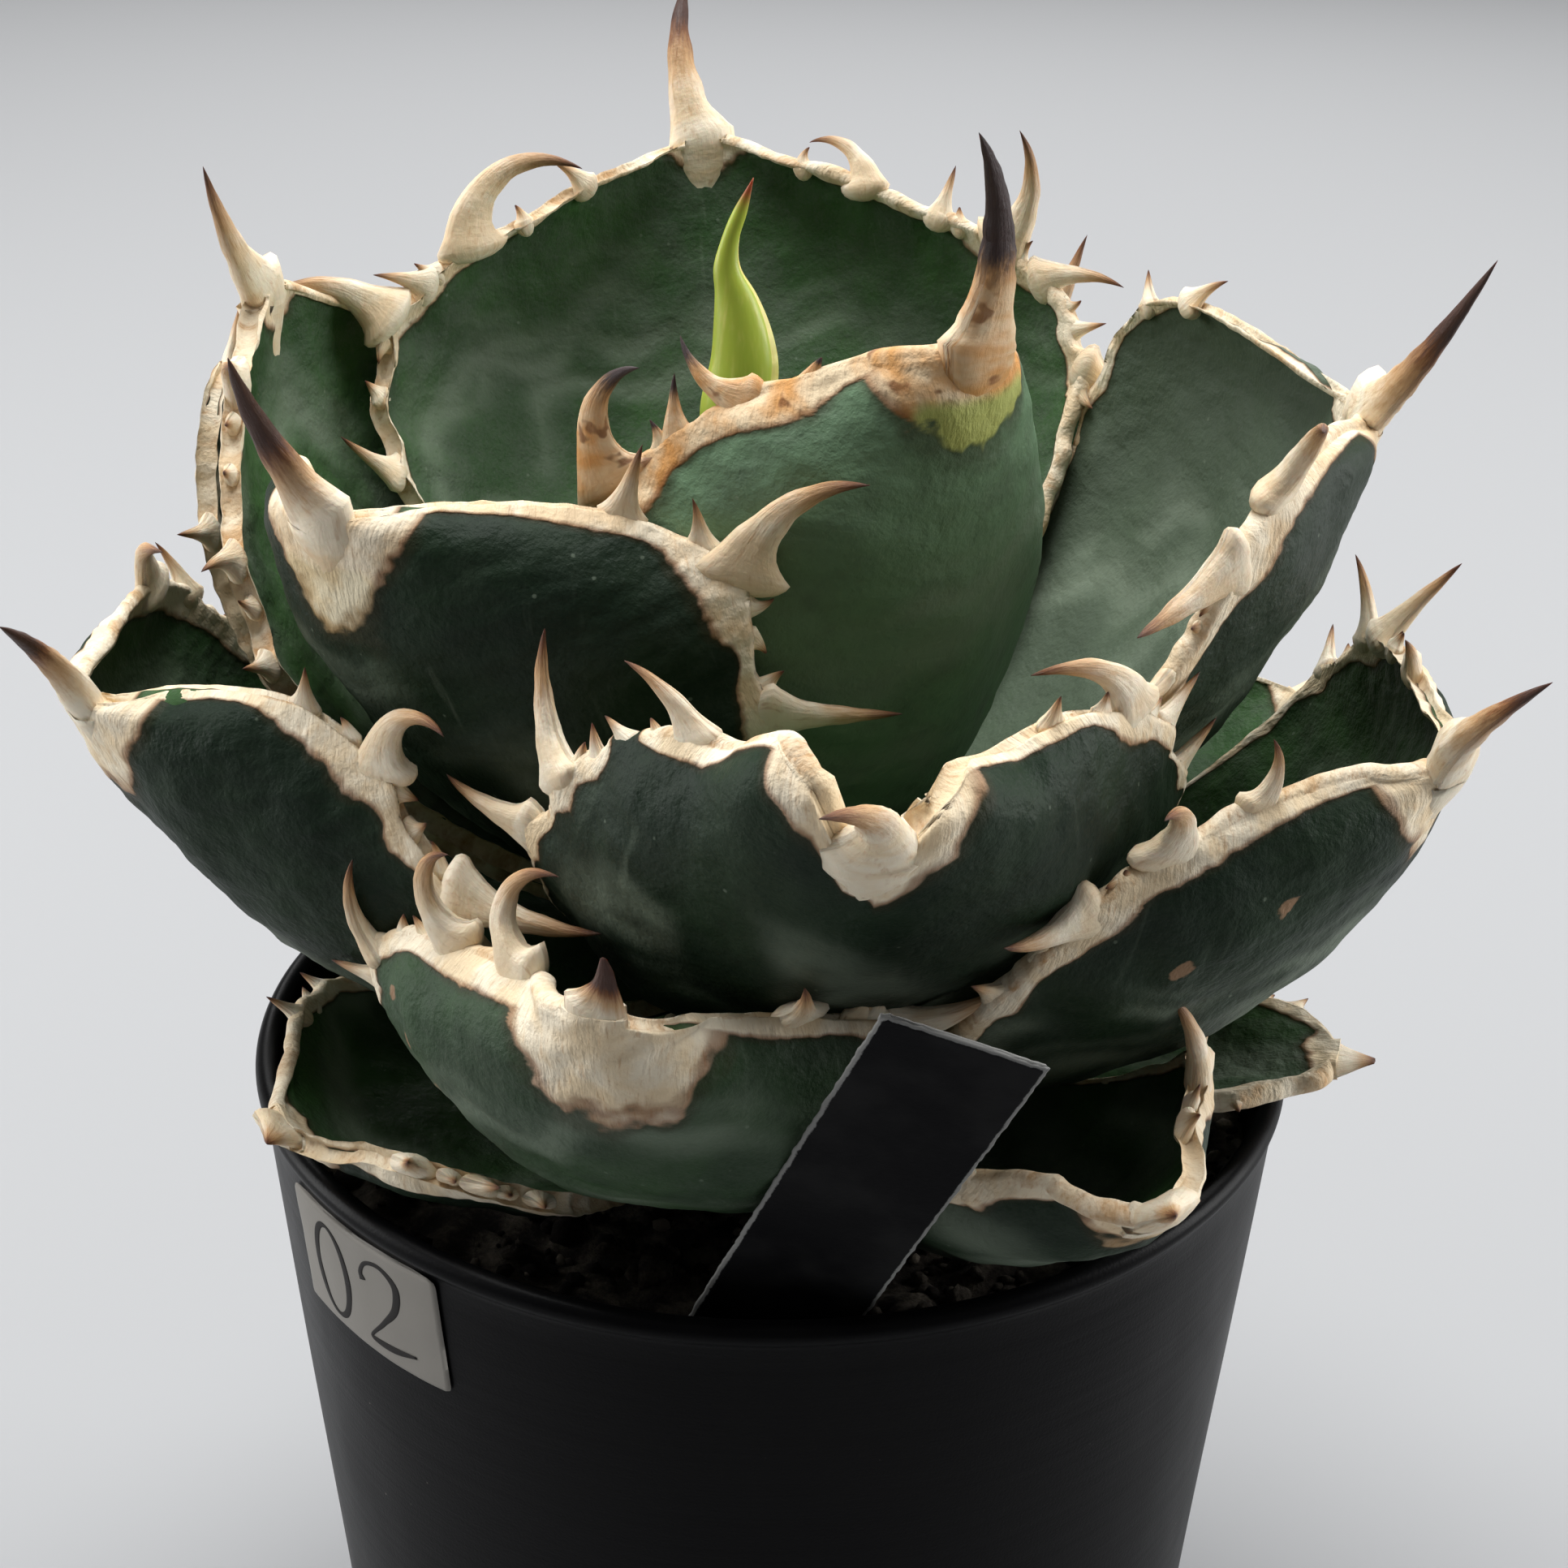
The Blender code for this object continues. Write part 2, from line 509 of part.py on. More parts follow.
def build_bud(finish):
    """The newest leaf, still rolled into a spear, standing on the stem."""
    # height above the rim, lean to -X and to +Y, radius
    rings = ((30.0, 0.0, 0.0, 4.6), (48.0, -0.6, 0.8, 5.6), (70.0, -2.6, 2.2, 5.2), (90.0, -5.2, 4.0, 3.8),
             (101.0, -6.4, 5.0, 2.2), (105.0, -7.0, 5.2, 1.5), (112.0, -4.6, 5.2, 1.1))
    bm = bmesh.new()
    sides = 12
    last = None
    for height, x, y, radius in rings:
        ring = [bm.verts.new(((x + radius * math.cos(a)) * MM, (y + radius * math.sin(a) * 0.8) * MM,
                              (POT_HEIGHT + height) * MM))
                for a in np.linspace(0, 2 * math.pi, sides, endpoint=False)]
        if last is None:
            bm.faces.new(ring)
        else:
            for i in range(sides):
                k = (i + 1) % sides
                bm.faces.new((last[i], last[k], ring[k], ring[i]))
        last = ring
    tip = bm.verts.new((-4.0 * MM, 5.0 * MM, (POT_HEIGHT + 118.0) * MM))
    for i in range(sides):
        bm.faces.new((last[i], last[(i + 1) % sides], tip))
    bmesh.ops.recalc_face_normals(bm, faces=bm.faces)
    add_object("bud_spear", bm, finish)


# ---------------------------------------------------------------- label and tag
def build_label(finish):
    """The number label, wrapped round the wall below the rim."""
    columns = 9
    twist = math.radians(LABEL_TWIST)
    bm = bmesh.new()
    grid = []
    for layer in (0, 1):
        for row in (0, 1):
            line = []
            for i in range(columns):
                across, down = LABEL_WIDTH * i / (columns - 1), LABEL_HEIGHT * row
                along = across * math.cos(twist) + down * math.sin(twist)
                drop = down * math.cos(twist) - across * math.sin(twist)
                height = LABEL_TOP - drop * math.cos(math.radians(WALL_TAPER))
                radius = outer_radius(height) + GAP + LABEL_THICKNESS * layer
                angle = math.radians(LABEL_START) + along / outer_radius(LABEL_TOP)
                line.append(bm.verts.new((radius * math.cos(angle) * MM, radius * math.sin(angle) * MM,
                                          height * MM)))
            grid.append(line)
    for low, high in ((0, 1), (1, 3), (3, 2), (2, 0)):
        for i in range(columns - 1):
            bm.faces.new((grid[low][i], grid[low][i + 1], grid[high][i + 1], grid[high][i]))
    for i in (0, columns - 1):
        bm.faces.new((grid[0][i], grid[1][i], grid[3][i], grid[2][i]))
    bmesh.ops.recalc_face_normals(bm, faces=bm.faces)
    add_object("number_label", bm, finish)


def tag_block(grow):
    """A flat bar on the tag's axis; `grow` widens it all round for the slot in the mix."""
    axis = np.array(TAG_AXIS) / np.linalg.norm(TAG_AXIS)
    across = np.array(TAG_ACROSS) - axis * np.dot(TAG_ACROSS, axis)
    across /= np.linalg.norm(across)
    face = np.cross(axis, across)
    corner = np.array(TAG_CORNER)
    bm = bmesh.new()
    verts = []
    for reach in (-TAG_SHOWING - TAG_BURIED - grow, 0.0):
        for a, b in ((-grow, -1), (TAG_WIDTH + grow, -1), (TAG_WIDTH + grow, 1), (-grow, 1)):
            point = corner + axis * reach + across * a + face * b * (TAG_THICKNESS / 2 + grow)
            verts.append(bm.verts.new(point * MM))
    bm.faces.new(verts[:4])
    bm.faces.new(verts[4:])
    for i in range(4):
        k = (i + 1) % 4
        bm.faces.new((verts[i], verts[k], verts[k + 4], verts[i + 4]))
    bmesh.ops.recalc_face_normals(bm, faces=bm.faces)
    return bm


# ---------------------------------------------------------------- the whole object
def main():
    """Clear the scene and build every piece."""
    for obj in list(bpy.data.objects):
        bpy.data.objects.remove(obj)
    leaf_green = material("leaf_green", (0.045, 0.075, 0.052), 0.55)
    bud_green = material("bud_green", (0.36, 0.42, 0.09), 0.45)
    stem_pale = material("stem_pale", (0.34, 0.33, 0.20), 0.8)
    build_pot(material("pot_plastic", (0.012, 0.012, 0.013), 0.45))
    build_fill(material("pumice", (0.42, 0.39, 0.33), 0.95), material("potting_mix", (0.035, 0.026, 0.02), 1.0))
    build_stem(stem_pale)
    build_bud(bud_green)
    for rank, leaf in enumerate(LEAVES):
        add_object(f"leaf_{rank + 1:02d}", leaf_mesh(leaf, rank), leaf_green)
    build_label(material("label_film", (0.50, 0.49, 0.46), 0.4))
    add_object("plant_tag", tag_block(0.0), material("tag_plastic", (0.015, 0.015, 0.016), 0.4))


main()
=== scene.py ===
"""Potted agave: the finished look of the rosette, its black pot, the number label and the plant tag.

Every surface is worked out as whole arrays from a function of two parameters, in millimetres, and
scaled to metres when it becomes a mesh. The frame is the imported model's own: +Z up, the pot stands
on z = 0 around the Z axis, and the front of the plant faces -Y.
"""

import json
import logging
import math
from dataclasses import dataclass
from enum import IntEnum

import bpy
import numpy as np
from mathutils import Matrix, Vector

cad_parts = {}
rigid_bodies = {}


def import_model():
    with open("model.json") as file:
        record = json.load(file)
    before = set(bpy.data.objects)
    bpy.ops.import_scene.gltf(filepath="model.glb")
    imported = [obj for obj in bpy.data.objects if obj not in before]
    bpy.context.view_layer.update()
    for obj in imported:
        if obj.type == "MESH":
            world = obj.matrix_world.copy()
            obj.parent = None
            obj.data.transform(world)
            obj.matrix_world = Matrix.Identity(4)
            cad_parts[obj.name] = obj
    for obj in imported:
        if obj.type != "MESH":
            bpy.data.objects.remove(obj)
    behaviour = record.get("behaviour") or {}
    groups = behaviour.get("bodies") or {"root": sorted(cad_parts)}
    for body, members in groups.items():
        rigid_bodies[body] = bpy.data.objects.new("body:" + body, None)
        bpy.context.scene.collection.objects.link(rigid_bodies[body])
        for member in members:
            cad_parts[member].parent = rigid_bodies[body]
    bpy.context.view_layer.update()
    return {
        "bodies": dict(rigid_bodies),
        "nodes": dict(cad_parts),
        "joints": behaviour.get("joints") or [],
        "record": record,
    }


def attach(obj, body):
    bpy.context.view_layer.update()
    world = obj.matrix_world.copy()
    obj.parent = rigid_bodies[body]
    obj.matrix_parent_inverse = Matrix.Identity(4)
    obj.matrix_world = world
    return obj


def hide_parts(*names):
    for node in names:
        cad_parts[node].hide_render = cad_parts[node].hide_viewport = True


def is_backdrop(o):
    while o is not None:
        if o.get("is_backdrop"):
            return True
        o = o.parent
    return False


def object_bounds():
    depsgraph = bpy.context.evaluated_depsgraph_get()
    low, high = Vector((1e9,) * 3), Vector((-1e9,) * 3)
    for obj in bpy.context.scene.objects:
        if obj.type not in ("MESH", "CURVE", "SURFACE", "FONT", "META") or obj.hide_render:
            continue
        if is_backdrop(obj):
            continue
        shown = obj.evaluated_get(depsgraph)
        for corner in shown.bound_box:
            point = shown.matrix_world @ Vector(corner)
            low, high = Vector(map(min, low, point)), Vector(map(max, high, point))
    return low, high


Socket = bpy.types.NodeSocket
Value = Socket | float | tuple    # what a node's input takes: a link, a number, or a colour or scale

LOG = logging.getLogger("agave")
MM = 0.001
BODY = "root"

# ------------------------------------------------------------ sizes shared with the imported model, mm
POT_HEIGHT = 140.0
RIM_DIAMETER = 150.0
WALL_TAPER = 4.86
WALL_THICKNESS = 2.4
RIM_BEAD = 1.7
FOOT_HEIGHT = 4.0
FOOT_WIDTH = 5.0
FLOOR_THICKNESS = 3.0
MIX_TOP = POT_HEIGHT - 15.0
INNERMOST_BASE = (7.0, 28.5)      # the innermost leaf's foot: distance from the axis, height over the rim
STEM_FLARE = 0.75                 # how much further out the foot of each next leaf is
LEAF_STEP = 2.1                   # how much lower it is
STEM_CLEARANCE = 1.1              # from the stem's skin to the feet of the leaves
TIP_HALF_WIDTH = 3.2              # of every blade, hidden in the spine's foot
TIP_FLAT_WIDTH = 12.0             # half width below which the blade opens out flat towards its tip
NECK = 0.26                       # share of its half width that a leaf has at the foot
MARGIN_THICKNESS = 1.8


# ------------------------------------------------------------ array helpers
def waves(seed: int, count: int, wavelength: float, *fields: np.ndarray) -> np.ndarray:
    """Smooth irregular values about -1 to 1: a sum of sine waves in seeded random directions.

    Args:
        seed: fixes the directions and phases.
        count: how many waves are added.
        wavelength: the typical distance from crest to crest.
        fields: the coordinates, all of one shape.

    Returns:
        An array of the fields' shape.
    """
    rng = np.random.default_rng(seed)
    total = np.zeros(np.broadcast(*fields).shape)
    for _ in range(count):
        direction = rng.normal(size=len(fields))
        direction *= rng.uniform(0.6, 1.7) / np.linalg.norm(direction)
        phase = rng.uniform(0, 2 * math.pi)
        total += np.sin(sum(d * f for d, f in zip(direction, fields)) * 2 * math.pi / wavelength + phase)
    return total / math.sqrt(count)


def unit(vectors: np.ndarray) -> np.ndarray:
    """Vectors scaled to length one along the last axis."""
    return vectors / np.maximum(np.linalg.norm(vectors, axis=-1, keepdims=True), 1e-9)


def smooth_step(values: np.ndarray, low: float, high: float) -> np.ndarray:
    """0 below low, 1 above high, and an even S between them."""
    share = np.clip((values - low) / (high - low), 0, 1)
    return share * share * (3 - 2 * share)


def hill(distance: np.ndarray) -> np.ndarray:
    """A bell curve: 1 at distance 0, about a third at 1."""
    return np.exp(-distance ** 2)


def smooth_line(knots: tuple, stops: np.ndarray) -> np.ndarray:
    """Rows of numbers read off a smooth curve through some knots.

    Args:
        knots: rows of numbers; the first number of each row is where the row holds.
        stops: where the curve is read.

    Returns:
        One row for each stop, without the first number, by cubic Hermite steps.
    """
    table = np.array(knots, float)
    at, rows = table[:, 0], table[:, 1:]
    slope = np.gradient(rows, at, axis=0)
    low = np.clip(np.searchsorted(at, stops, side="right") - 1, 0, len(at) - 2)
    span = (at[low + 1] - at[low])[:, None]
    t = (stops - at[low])[:, None] / span
    return ((1 + 2 * t) * (1 - t) ** 2 * rows[low] + t * (1 - t) ** 2 * span * slope[low]
            + t * t * (3 - 2 * t) * rows[low + 1] + t * t * (t - 1) * span * slope[low + 1])


def grid_normals(grid: np.ndarray) -> np.ndarray:
    """Unit normals of an open grid of points: the step across it crossed with the step along it."""
    return unit(np.cross(np.gradient(grid, axis=1), np.gradient(grid, axis=0)))


def turned(radius: np.ndarray, height: np.ndarray, theta: np.ndarray) -> np.ndarray:
    """Rings about the Z axis: x is radius times cos theta, y is radius times sin theta.

    Args:
        radius: rows by columns.
        height: one for each row.
        theta: the angle of each column.

    Returns:
        Points, rows by columns by 3.
    """
    return np.stack([radius * np.cos(theta), radius * np.sin(theta), height[:, None] + 0 * radius], -1)


class Shell:
    """Points, faces and point attributes that are gathered before one mesh is made of them."""

    def __init__(self) -> None:
        """Start with nothing."""
        self.points: list = []
        self.faces: list = []
        self.fields: dict = {}
        self.count = 0

    def add(self, points: np.ndarray, faces: list, **fields: np.ndarray) -> None:
        """Add a surface.

        Args:
            points: its places in millimetres, one row each.
            faces: arrays of its own vertex numbers, one row for each face.
            fields: named values, one number or one vector for each point.
        """
        self.faces += [block + self.count for block in faces]
        self.points.append(points)
        for name, values in fields.items():
            self.fields.setdefault(name, []).append(values)
        self.count += len(points)

    def tube(self, grid: np.ndarray, flip: bool = False, **fields: np.ndarray) -> None:
        """Add a closed body: rings of points joined row after row, each end drawn in to a point.

        Args:
            grid: places in millimetres, rows by columns by 3; a row closes into a ring.
            flip: turn the faces round.
            fields: named values, rows by columns or rows by columns by 3.
        """
        rows, columns = grid.shape[:2]
        j, i = (a.ravel() for a in np.meshgrid(np.arange(rows - 1), np.arange(columns), indexing="ij"))
        k = (i + 1) % columns
        quads = np.stack([j * columns + i, j * columns + k, (j + 1) * columns + k, (j + 1) * columns + i], -1)
        ring = np.arange(columns)
        after = (ring + 1) % columns
        ends = (rows - 1) * columns
        first, last = rows * columns, rows * columns + 1
        start = np.stack([after, ring, np.full(columns, first)], -1)
        finish = np.stack([ends + ring, ends + after, np.full(columns, last)], -1)
        faces = [quads, start, finish]
        if flip:
            faces = [block[:, ::-1] for block in faces]

        def with_ends(values: np.ndarray) -> np.ndarray:
            """The grid's values as rows, then the mean of its first and of its last ring."""
            flat = values.reshape(rows * columns, *values.shape[2:])
            return np.concatenate([flat, values[:1].mean(axis=1), values[-1:].mean(axis=1)])

        self.add(with_ends(grid), faces, **{name: with_ends(values) for name, values in fields.items()})

    def piece(self, name: str, material: bpy.types.Material, slot: str, *nodes: str) -> bpy.types.Object:
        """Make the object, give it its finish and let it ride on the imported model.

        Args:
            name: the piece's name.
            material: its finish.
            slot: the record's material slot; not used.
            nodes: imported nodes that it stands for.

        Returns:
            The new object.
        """
        mesh = bpy.data.meshes.new(name)
        rows = [row for block in self.faces for row in block.tolist()]
        mesh.from_pydata((np.concatenate(self.points) * MM).tolist(), [], rows)
        for field, values in self.fields.items():
            data = np.concatenate(values).astype(np.float32)
            kind = "FLOAT" if data.ndim == 1 else "FLOAT_VECTOR"
            made = mesh.attributes.new(field, kind, "POINT")
            made.data.foreach_set("value" if data.ndim == 1 else "vector", data.ravel())
        mesh.materials.append(material)
        mesh.shade_smooth()
        obj = bpy.data.objects.new(name, mesh)
        bpy.context.scene.collection.objects.link(obj)
        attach(obj, BODY)
        if nodes:
            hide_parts(*nodes)
        LOG.info("%s: %d faces", name, len(rows))
        return obj


# ------------------------------------------------------------ node helper
class Graph:
    """A material's node tree, with short calls for the nodes that the finishes share."""

    def __init__(self, name: str) -> None:
        """Make a material with its Principled shader ready.

        Args:
            name: the material's name.
        """
        self.material = bpy.data.materials.new(name)
        self.material.use_nodes = True
        self.tree = self.material.node_tree
        self.shader = self.tree.nodes["Principled BSDF"]

    def node(self, kind: str, **inputs: Value) -> bpy.types.Node:
        """Add a node and fill its inputs.

        Args:
            kind: the node's type.
            inputs: what goes into each, by socket name with _ for a space.

        Returns:
            The node.
        """
        made = self.tree.nodes.new(kind)
        for key, value in inputs.items():
            self.feed(made.inputs[key.replace("_", " ")], value)
        return made

    def feed(self, socket: Socket, value: Value) -> None:
        """Link an input to another node's output, or set its value.

        Args:
            socket: the input.
            value: an output to link, or what to set.
        """
        if isinstance(value, Socket):
            self.tree.links.new(value, socket)
        else:
            socket.default_value = value

    def attribute(self, name: str) -> bpy.types.Node:
        """A node that reads one of the mesh's own point attributes.

        Args:
            name: the attribute's name.

        Returns:
            The node.
        """
        made = self.tree.nodes.new("ShaderNodeAttribute")
        made.attribute_name = name
        return made

    def field(self, name: str) -> Socket:
        """A point attribute as a number."""
        return self.attribute(name).outputs["Fac"]

    def vector(self, name: str) -> Socket:
        """A point attribute as a vector."""
        return self.attribute(name).outputs["Vector"]

    def place(self) -> Socket:
        """Object coordinates, in metres."""
        return self.tree.nodes.new("ShaderNodeTexCoord").outputs["Object"]

    def stretched(self, source: Socket, scale: tuple) -> Socket:
        """Coordinates scaled along each axis."""
        return self.node("ShaderNodeMapping", Vector=source, Scale=scale).outputs["Vector"]

    def noise(self, where: Socket, scale: float, detail: float = 3.0, roughness: float = 0.55) -> Socket:
        """Noise from 0 to 1."""
        return self.node("ShaderNodeTexNoise", Vector=where, Scale=scale, Detail=detail,
                         Roughness=roughness).outputs["Fac"]

    def cells(self, where: Socket, scale: float) -> Socket:
        """Distance to the nearest point of a cell pattern."""
        return self.node("ShaderNodeTexVoronoi", Vector=where, Scale=scale).outputs["Distance"]

    def math(self, operation: str, first: Value, second: Value = 0.0, third: Value = 0.0) -> Socket:
        """One arithmetic step.

        Args:
            operation: its name, such as MULTIPLY_ADD for first times second plus third.
            first: a link or a number, as the other two are.
            second: the second operand.
            third: the third operand.

        Returns:
            The result.
        """
        made = self.tree.nodes.new("ShaderNodeMath")
        made.operation = operation
        for socket, value in zip(made.inputs, (first, second, third)):
            self.feed(socket, value)
        return made.outputs[0]

    def ramp(self, value: Value, low: float, high: float, to_low: float = 0.0,
             to_high: float = 1.0) -> Socket:
        """A smooth step of a value from one range to another.

        Args:
            value: what is stepped.
            low: where the step starts.
            high: where it ends.
            to_low: the result below low.
            to_high: the result above high.

        Returns:
            The result.
        """
        made = self.tree.nodes.new("ShaderNodeMapRange")
        made.interpolation_type = "SMOOTHSTEP"
        for name, number in (("Value", value), ("From Min", low), ("From Max", high), ("To Min", to_low),
                             ("To Max", to_high)):
            self.feed(made.inputs[name], number)
        return made.outputs[0]

    def mix(self, share: Value, first: Value, second: Value) -> Socket:
        """Two colours mixed.

        Args:
            share: how much there is of the second.
            first: a link or a colour.
            second: a link or a colour.

        Returns:
            The mixed colour.
        """
        made = self.tree.nodes.new("ShaderNodeMix")
        made.data_type = "RGBA"
        for socket, value in ((made.inputs[0], share), (made.inputs[6], first), (made.inputs[7], second)):
            self.feed(socket, (*value, 1.0) if isinstance(value, tuple) else value)
        return made.outputs[2]

    def bump(self, height: Socket, distance: float, strength: float = 1.0,
             below: Socket | None = None) -> Socket:
        """Relief for the shader's normal.

        Args:
            height: the relief, 0 to 1.
            distance: its full height in metres.
            strength: how much of it shows.
            below: a coarser relief that it lies on.

        Returns:
            The normal.
        """
        made = self.node("ShaderNodeBump", Height=height, Distance=distance, Strength=strength)
        if below is not None:
            self.feed(made.inputs["Normal"], below)
        return made.outputs["Normal"]

    def finish(self, colour: Value, roughness: Value, normal: Socket | None = None,
               **fixed: float) -> bpy.types.Material:
        """Connect the shader.

        Args:
            colour: the base colour.
            roughness: how matt the surface is.
            normal: the relief, if it has one.
            fixed: numbers for the shader's own sockets, by name with _ for a space.

        Returns:
            The material.
        """
        self.feed(self.shader.inputs["Base Color"], (*colour, 1.0) if isinstance(colour, tuple) else colour)
        self.feed(self.shader.inputs["Roughness"], roughness)
        if normal is not None:
            self.feed(self.shader.inputs["Normal"], normal)
        for key, value in fixed.items():
            self.shader.inputs[key.replace("_", " ")].default_value = value
        return self.material


# ------------------------------------------------------------ finishes
@dataclass(frozen=True)
class HornColours:
    """Colours of the horny margin, teeth and spines, linear."""
    cream: tuple = (0.82, 0.66, 0.44)
    chalk: tuple = (0.90, 0.80, 0.62)
    tan: tuple = (0.50, 0.27, 0.105)
    orange: tuple = (0.66, 0.33, 0.11)
    lime: tuple = (0.42, 0.45, 0.14)
    brown: tuple = (0.20, 0.075, 0.024)
    dark: tuple = (0.030, 0.012, 0.012)

    def colour(self, graph: Graph, lay: Socket, along: Value, edge_line: Value, youth: Value) -> Socket:
        """Cream horn with fibres along it, browner towards its tip and where it meets the green.

        Args:
            graph: the material under work.
            lay: coordinates in millimetres, y along the horn.
            along: 0 at the base of a tooth, 1 at its tip.
            edge_line: 1 on the line where horn and green meet.
            youth: 1 for the newest leaf, 0 for a bleached one.

        Returns:
            The colour socket.
        """
        fibres = graph.noise(graph.stretched(lay, (1.0, 0.16, 1.0)), 2.2, 4.0, 0.6)
        patches = graph.noise(lay, 0.16, 3.0, 0.6)
        base = graph.mix(graph.ramp(patches, 0.38, 0.62), self.cream, self.chalk)
        base = graph.mix(graph.ramp(fibres, 0.52, 0.78, 0.0, 0.55), base, self.tan)
        young = graph.mix(graph.ramp(patches, 0.35, 0.65), self.orange, self.cream)
        young = graph.mix(graph.ramp(graph.noise(lay, 0.3, 2.0), 0.60, 0.68, 0.0, 0.8), young, self.brown)
        base = graph.mix(youth, base, young)
        wander = graph.math("MULTIPLY_ADD", fibres, 0.34, along)
        base = graph.mix(graph.ramp(wander, 0.45, 0.90, 0.0, 0.85), base, self.tan)
        base = graph.mix(graph.ramp(wander, 0.82, 1.10), base, self.brown)
        base = graph.mix(graph.ramp(wander, 1.02, 1.20, 0.0, 0.8), base, self.dark)
        tip = graph.math("MULTIPLY", graph.ramp(wander, 0.70, 0.98), youth)
        base = graph.mix(tip, base, self.dark)
        return graph.mix(graph.math("MULTIPLY", edge_line, 0.75), base, self.brown)


@dataclass(frozen=True)
class HornFinish:
    """Horn of the teeth and spines: dry, fibrous, cream to brown."""
    colours: HornColours = HornColours()
    roughness: float = 0.52

    def build(self) -> bpy.types.Material:
        """Make the material.

        Returns:
            The material.
        """
        graph = Graph("horn")
        lay = graph.vector("lay")
        colour = self.colours.colour(graph, lay, graph.field("along"), 0.0, graph.field("youth"))
        fibres = graph.noise(graph.stretched(lay, (1.0, 0.12, 1.0)), 2.6, 5.0, 0.6)
        pits = graph.noise(lay, 1.1, 3.0)
        normal = graph.bump(pits, 0.00022, 0.6, graph.bump(fibres, 0.00016, 0.9))
        return graph.finish(colour, graph.ramp(fibres, 0.3, 0.8, self.roughness - 0.1, self.roughness + 0.15),
                            normal, Specular_IOR_Level=0.4, Subsurface_Weight=0.08, Subsurface_Scale=0.0015)


